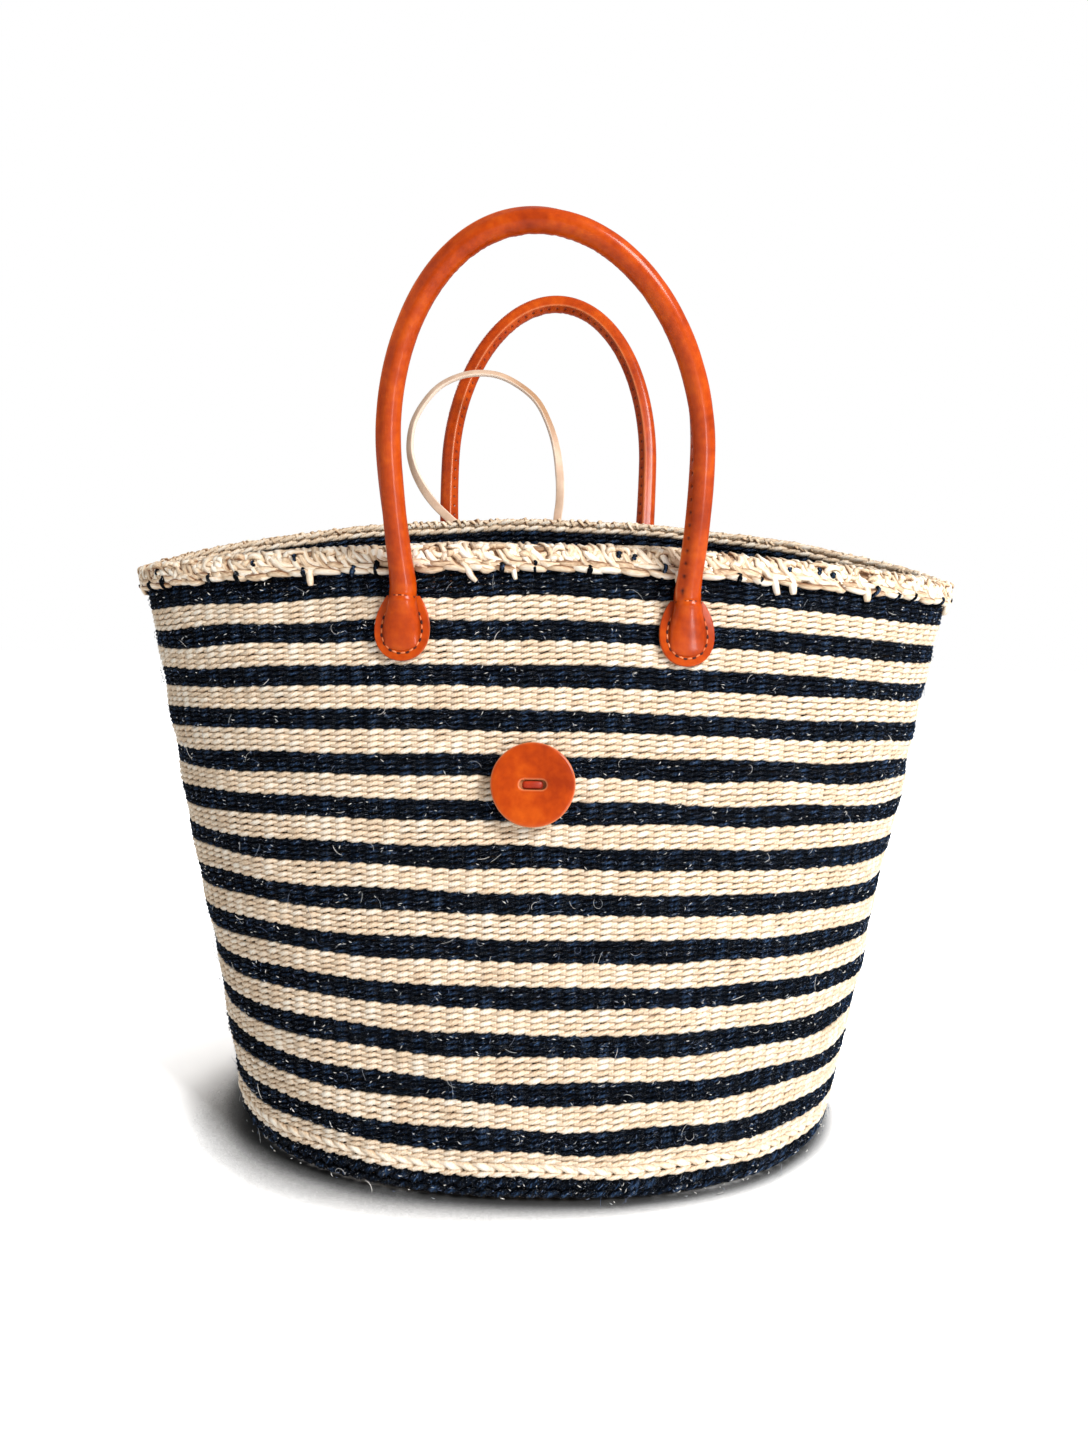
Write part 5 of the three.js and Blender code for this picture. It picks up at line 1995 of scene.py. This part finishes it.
@dataclass(frozen=True)
class LoopSizes:
    """Sizes of the closure loop; its route is given as shares of its span and height."""

    width: float = 5.2 * MM
    thickness: float = 2.2 * MM
    height: float = 88 * MM
    span: float = 94 * MM
    right_foot: float = 6.5 * MM
    twist: float = math.radians(48)
    pivot_y: float = 81.437 * MM
    pivot_z: float = 330.1 * MM
    anchor_x: float = 3 * MM
    anchor_below_rim: float = 70 * MM
    inner_face: float = -5.8 * MM
    washer: float = 1.6 * MM
    washer_hole: float = 3.2 * MM
    gap: float = 0.3 * MM
    knot_reach: float = 5.4 * MM
    shank_radius: float = 2.7 * MM
    route_shares: tuple = (
        (0, 0, 0), (-0.012, 0.12, 0), (-0.01, 0.28, 0.3), (0.02, 0.5, 0.8), (0.078, 0.68, 1),
        (0.155, 0.82, 1), (0.27, 0.92, 1), (0.4, 0.985, 1), (0.535, 1, 1), (0.665, 0.975, 1),
        (0.795, 0.905, 1), (0.895, 0.79, 1), (0.967, 0.645, 1), (0.988, 0.475, 0.9), (0.96, 0.33, 0.7),
        (0.9, 0.2, 0.35), (0.824, 0.09, 0), (0.735, 0, 0),
    )
    left_shares: tuple = ((0, 0), (0.28, 0.22), (0.56, 0.47), (0.8, 0.72), (0.95, 0.9), (1, 1))
    right_shares: tuple = ((0, 0), (0.1, 0.25), (0.3, 0.5), (0.7, 0.8), (1, 1))


class Loop:
    """Flat thong that stands up behind the rim, and its two tails down to the anchor."""

    def __init__(self, sizes: LoopSizes, wall: WallForm) -> None:
        """Finds the anchor of the loop on the wall."""
        self.sizes = sizes
        self.wall = wall
        self.anchor_z = wall.rim_level(sizes.anchor_x, Side.BACK) - sizes.anchor_below_rim
        self.seat = wall.seat(sizes.anchor_x, self.anchor_z, Side.BACK)

    def tail(self, foot: float, shares: Sequence[tuple]) -> Array:
        """Rows of (x, y, z, twist) from the anchor up to a foot of the loop.

        Args:
            foot: x of the foot.
            shares: route down the wall as shares.

        Returns:
            The rows.
        """
        sizes = self.sizes
        rows = []
        for across, down in reversed(shares):
            x = foot + (sizes.anchor_x - foot) * across
            z = sizes.pivot_z + (self.anchor_z - sizes.pivot_z) * down
            level = min(z, self.wall.rim_level(x, Side.BACK))
            inner = max(sizes.pivot_y - sizes.thickness / 2, self.wall.face_y(x, level, Side.BACK) + 0.9 * MM)
            rows.append((x, inner + sizes.thickness / 2, z, 0.0))
        return np.array(rows)

    def strap(self) -> Piece:
        """Whole strap: up the right tail, round the loop and down the left tail."""
        sizes = self.sizes
        across, rise, turn = np.array(sizes.route_shares, dtype=float).T
        x = sizes.right_foot - across * sizes.span
        z = sizes.pivot_z + rise * sizes.height
        loop = np.stack([x, np.full_like(x, sizes.pivot_y), z, turn * sizes.twist], axis=1)
        right = self.tail(sizes.right_foot, sizes.right_shares)[:-1]
        left = self.tail(float(loop[-1, 0]), sizes.left_shares)[::-1][1:]
        scale = np.array([1.0, 1.0, 1.0, 8 * MM])
        route = smooth_path(np.vstack([right, loop, left]) * scale, 260) / scale
        path, twist = route[:, :3], route[:, 3]
        tangent = unit(np.gradient(path, axis=0))
        across = unit(np.cross(tangent, np.array([0.0, 1.0, 0.0])))
        back = unit(np.cross(across, tangent))
        c, s = np.cos(twist)[:, None], np.sin(twist)[:, None]
        wide = across * c - back * s
        thick = across * s + back * c
        half, deep, edge = sizes.width / 2, sizes.thickness / 2, 0.5 * MM
        crown = deep + 0.05 * MM
        wide_in, deep_in = half - edge * 0.4, deep - edge * 0.3
        flat = half - edge * 1.3
        section = [
            (-half, -deep + edge), (-wide_in, -deep_in), (-flat, -deep), (0.0, -crown), (flat, -deep),
            (wide_in, -deep_in), (half, -deep + edge), (half, deep - edge), (wide_in, deep_in),
            (flat, deep), (0.0, crown), (-flat, deep), (-wide_in, deep_in), (-half, deep - edge),
        ]
        rings = np.stack([path + wide * a + thick * b for a, b in section], axis=1)
        flesh = np.array([0.6, 0.85, 1, 1, 1, 0.85, 0.6, 0.3, 0.1, 0, 0, 0, 0.1, 0.3])
        # The rough-side colour is full only near the loop's top and right: the leather's back side, with
        # painted shade there.
        rise = np.clip((path[:, 2] - sizes.pivot_z) / sizes.height / 0.22 - 2.3, 0.0, 1.0)
        rightward = np.clip((path[:, 0] - sizes.right_foot) / sizes.span / 0.4 + 1.5, 0.0, 1.0)
        flesh_and_shade_share = 0.12 + 0.88 * rise * rightward
        edges = np.array([1, 0.8, 0, 0, 0, 0.8, 1, 1, 0.8, 0, 0, 0, 0.8, 1])
        values = {"flesh": flesh_and_shade_share[:, None] * flesh[None, :], "raw": edges}
        bm = bmesh.new()
        rolled_sheet(bm, rings, values)
        weld(bm)
        return bake_bmesh("closure_strap", bm)

    def knot(self) -> Piece:
        """Shank through the wall and the knot inside."""
        sizes = self.sizes
        bm = bmesh.new()
        knot_z = sizes.inner_face - sizes.washer - sizes.gap - 0.7 * sizes.knot_reach
        shank = np.stack([np.zeros(8), np.zeros(8), np.linspace(2.8 * MM, knot_z, 8)], axis=1)
        up = np.tile([1.0, 0.0, 0.0], (8, 1))
        half = np.full(8, sizes.shank_radius)
        rolled_sheet(bm, tube_rings(shank, half, half, up, 12))
        weld(bm)
        add_knot(bm, knot_z, sizes.knot_reach)
        bmesh.ops.transform(bm, matrix=self.seat, verts=bm.verts)
        return bake_bmesh("closure_knot", bm)

    def build(self, thong: Material, backing: Material) -> None:
        """Builds strap, knot and washer.

        Args:
            thong: material of the strap.
            backing: material of the washer.
        """
        sizes = self.sizes
        strap = self.strap()
        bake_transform(strap)
        dress(strap, [thong], None, ["closure_loop", "closure_loop_tail"])
        dress(self.knot(), [thong])
        washer_low = sizes.inner_face - sizes.washer
        washer = washer_disc("closure_washer", self.seat, washer_low, sizes.washer, sizes.washer_hole)
        dress(washer, [backing], nodes=["closure_loop_washer"])
        log.info("closure loop")


def undyed_leather() -> Material:
    """Vegetable leather left undyed: pale grain side, browner rough side that also carries painted shade, and
    bright cut edges.
    """
    sheet = NodeSheet("undyed_leather")
    spot = sheet.spot()
    cloud = sheet.noise(spot, 90.0, 3.0)
    nap = sheet.noise(spot, 1400.0, 3.0)
    grain = sheet.ramp(cloud, [(0.3, tint(202, 168, 142)), (0.7, tint(228, 200, 176))])
    fuzz = sheet.math("ADD", sheet.math("MULTIPLY", cloud, 0.5), sheet.math("MULTIPLY", nap, 0.5))
    flesh = sheet.ramp(fuzz, [(0.3, tint(150, 110, 78)), (0.7, tint(186, 146, 110))])
    sides = sheet.mix(sheet.value("flesh"), grain, flesh)
    colour = sheet.mix(sheet.math("MULTIPLY", sheet.value("raw"), 0.6), sides, tint(250, 232, 214))
    return sheet.finish({"Base Color": colour, "Roughness": 0.6, "Specular IOR Level": 0.3}, (nap, 0.06 * MM))


def sisal_rope() -> Material:
    """Twisted rope inside the handles."""
    sheet = NodeSheet("sisal_rope")
    spot = sheet.spot()
    ply = sheet.noise(spot, 700.0, 2.0)
    colour = sheet.ramp(ply, [(0.35, tint(150, 118, 74)), (0.65, tint(208, 180, 132))])
    return sheet.finish({"Base Color": colour, "Roughness": 0.85}, (ply, 0.2 * MM))


# Stage, lights and camera


@dataclass(frozen=True)
class Studio:
    """White studio with a soft key from the right and the photograph's camera."""

    focal_pixels: float = 1086.0
    frame_height: float = 1445.0
    sensor: float = 36.0
    place: tuple = (0.66 * MM, -607.2 * MM, 261.7 * MM)
    pitch: float = 0.0867
    roll: float = 0.0204
    floor_open: float = 2.75
    # The levels and reaches below set the floor's painted shadow: for the camera its colour darkens where the
    # basket hides the sky nearby, leaning so that it falls mostly to the front and left.
    painted_shadow_level: float = 0.05
    touch_reach: float = 20 * MM
    touch_range: tuple = (0.15, 0.85)
    contact_reach: float = 80 * MM
    contact_range: tuple = (0.3, 0.65)
    shade_reach: float = 170 * MM
    shade_range: tuple = (0.4, 0.95)
    shade_floor: float = 0.74
    sky_leans: tuple = (0.5, 0.7, 0.5)
    sky_power: float = 0.38

    def camera(self) -> None:
        """Sets the camera at the photograph's viewing angle."""
        data = bpy.data.cameras.new("camera")
        data.sensor_fit = "AUTO"
        data.sensor_width = self.sensor
        data.lens = self.sensor * self.focal_pixels / self.frame_height
        data.clip_start = 0.02
        data.clip_end = 20.0
        camera = bpy.data.objects.new("camera", data)
        turn = Matrix.Rotation(math.pi / 2 - self.pitch, 4, "X") @ Matrix.Rotation(self.roll, 4, "Z")
        camera.matrix_world = Matrix.Translation(Vector(self.place)) @ turn
        bpy.context.scene.collection.objects.link(camera)
        bpy.context.scene.camera = camera

    def lamp(self, name: str, place: tuple, aim: tuple, size: float, power: float) -> None:
        """Adds a square soft lamp that points at a place."""
        data = bpy.data.lights.new(name, "AREA")
        data.size = size
        data.energy = power
        lamp = bpy.data.objects.new(name, data)
        lamp.location = Vector(place)
        lamp.rotation_euler = (Vector(aim) - Vector(place)).to_track_quat("-Z", "Y").to_euler()
        bpy.context.scene.collection.objects.link(lamp)

    @staticmethod
    def open_sky(sheet: NodeSheet, reach: float, stretch: tuple, way: tuple = (0.0, 0.0, 1.0)) -> Socket:
        """Share of the sky round a direction that nothing within a reach hides."""
        sky = sheet.add("ShaderNodeAmbientOcclusion", {"Distance": reach, "Normal": sheet.vector(*way)})
        return sheet.between(sky.outputs["AO"], *stretch)

    def floor(self) -> None:
        """Adds the pale floor; for the camera its colour is darker where the basket hides the sky, a painted
        shadow.
        """
        bm = bmesh.new()
        bmesh.ops.create_grid(bm, x_segments=1, y_segments=1, size=8.0)
        floor = bake_bmesh("floor", bm, smooth=False)
        sheet = NodeSheet("pale_floor")
        touch = self.open_sky(sheet, self.touch_reach, self.touch_range)
        contact = self.open_sky(sheet, self.contact_reach, self.contact_range, self.sky_leans)
        shade = self.open_sky(sheet, self.shade_reach, self.shade_range, self.sky_leans)
        soft = sheet.math("ADD", sheet.math("MULTIPLY", shade, 1 - self.shade_floor), self.shade_floor)
        near = sheet.math("MULTIPLY", touch, contact)
        share = sheet.math("POWER", sheet.math("MULTIPLY", near, soft), 2.0)
        # Painted shadow: the floor's colour for the camera runs from a dark level by the basket to the bright
        # open floor.
        painted_shadow, bare = ((level, level, level, 1.0) for level in (self.painted_shadow_level, self.floor_open))
        seen = sheet.add("ShaderNodeBsdfDiffuse", {"Color": sheet.mix(share, painted_shadow, bare)})
        plain = sheet.add("ShaderNodeBsdfDiffuse", {"Color": (0.9, 0.9, 0.9, 1.0)})
        camera_ray = sheet.add("ShaderNodeLightPath").outputs["Is Camera Ray"]
        mixed = sheet.add("ShaderNodeMixShader", {0: camera_ray, 1: plain.outputs[0], 2: seen.outputs[0]})
        sheet.add("ShaderNodeOutputMaterial", {0: mixed.outputs[0]})
        floor.data.materials.append(sheet.owner)

    def world(self) -> None:
        """Sets a white world: full white to the eye, softer as light."""
        world = bpy.data.worlds.new("studio")
        sheet = NodeSheet("studio", world)
        white = (1.0, 1.0, 1.0, 1.0)
        light, seen = (
            sheet.add("ShaderNodeBackground", {0: white, 1: power}).outputs[0]
            for power in (self.sky_power, 1.0)
        )
        camera_ray = sheet.add("ShaderNodeLightPath").outputs["Is Camera Ray"]
        mixed = sheet.add("ShaderNodeMixShader", {0: camera_ray, 1: light, 2: seen})
        sheet.add("ShaderNodeOutputWorld", {0: mixed.outputs[0]})
        bpy.context.scene.world = world

    def build(self) -> None:
        """Sets up the whole studio."""
        bpy.context.scene.view_settings.view_transform = "Standard"
        self.camera()
        self.floor()
        self.world()
        self.lamp("key", (1.5, -1.4, 1.6), (0.0, 0.0, 0.2), 0.9, 76.0)
        self.lamp("fill", (-1.8, -1.2, 1.0), (0.0, 0.0, 0.2), 1.6, 4.0)
        self.lamp("back", (-0.9, 2.1, 1.5), (0.0, 0.0, 0.2), 1.2, 12.0)
        self.lamp("low_strip", (0.5, -0.85, 0.03), (0.25, -0.45, 0.4), 0.16, 2.0)


def main() -> None:
    """Builds the dressed basket, piece by piece."""
    logging.basicConfig(level=logging.INFO, format="%(name)s: %(message)s")
    Studio().build()
    wall = WallForm()
    warps = WarpSpread(wall)
    natural, navy = NATURAL_YARN.material(), NAVY_YARN.material()
    leather, backing = TAN_LEATHER.material(), BACKING.material()
    thread_and_hole_shade = [THREAD.material(), HOLE_SHADE.material()]
    twined = TwinedWall(wall, warps, TwineSizes(), Courses())
    twined.build(natural, navy)
    RimBraid(wall, warps, RimSizes()).build(natural, navy)
    core = Core(wall, warps, twined)
    core.stakes()
    core.floor(natural)
    for sizes in (FRONT, BACK):
        Handle(sizes, wall, TabSizes()).build(leather, backing, thread_and_hole_shade)
    Button(ButtonSizes(), wall).build(leather, backing, RED_THONG.material())
    Loop(LoopSizes(), wall).build(undyed_leather(), backing)
    LooseFibres(wall, warps, FibreSizes(), Courses()).build()
    rope = sisal_rope()
    for name in ("front_handle_rope_core", "back_handle_rope_core"):
        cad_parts[name].data.materials.clear()
        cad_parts[name].data.materials.append(rope)


if __name__ == "__main__":
    main()
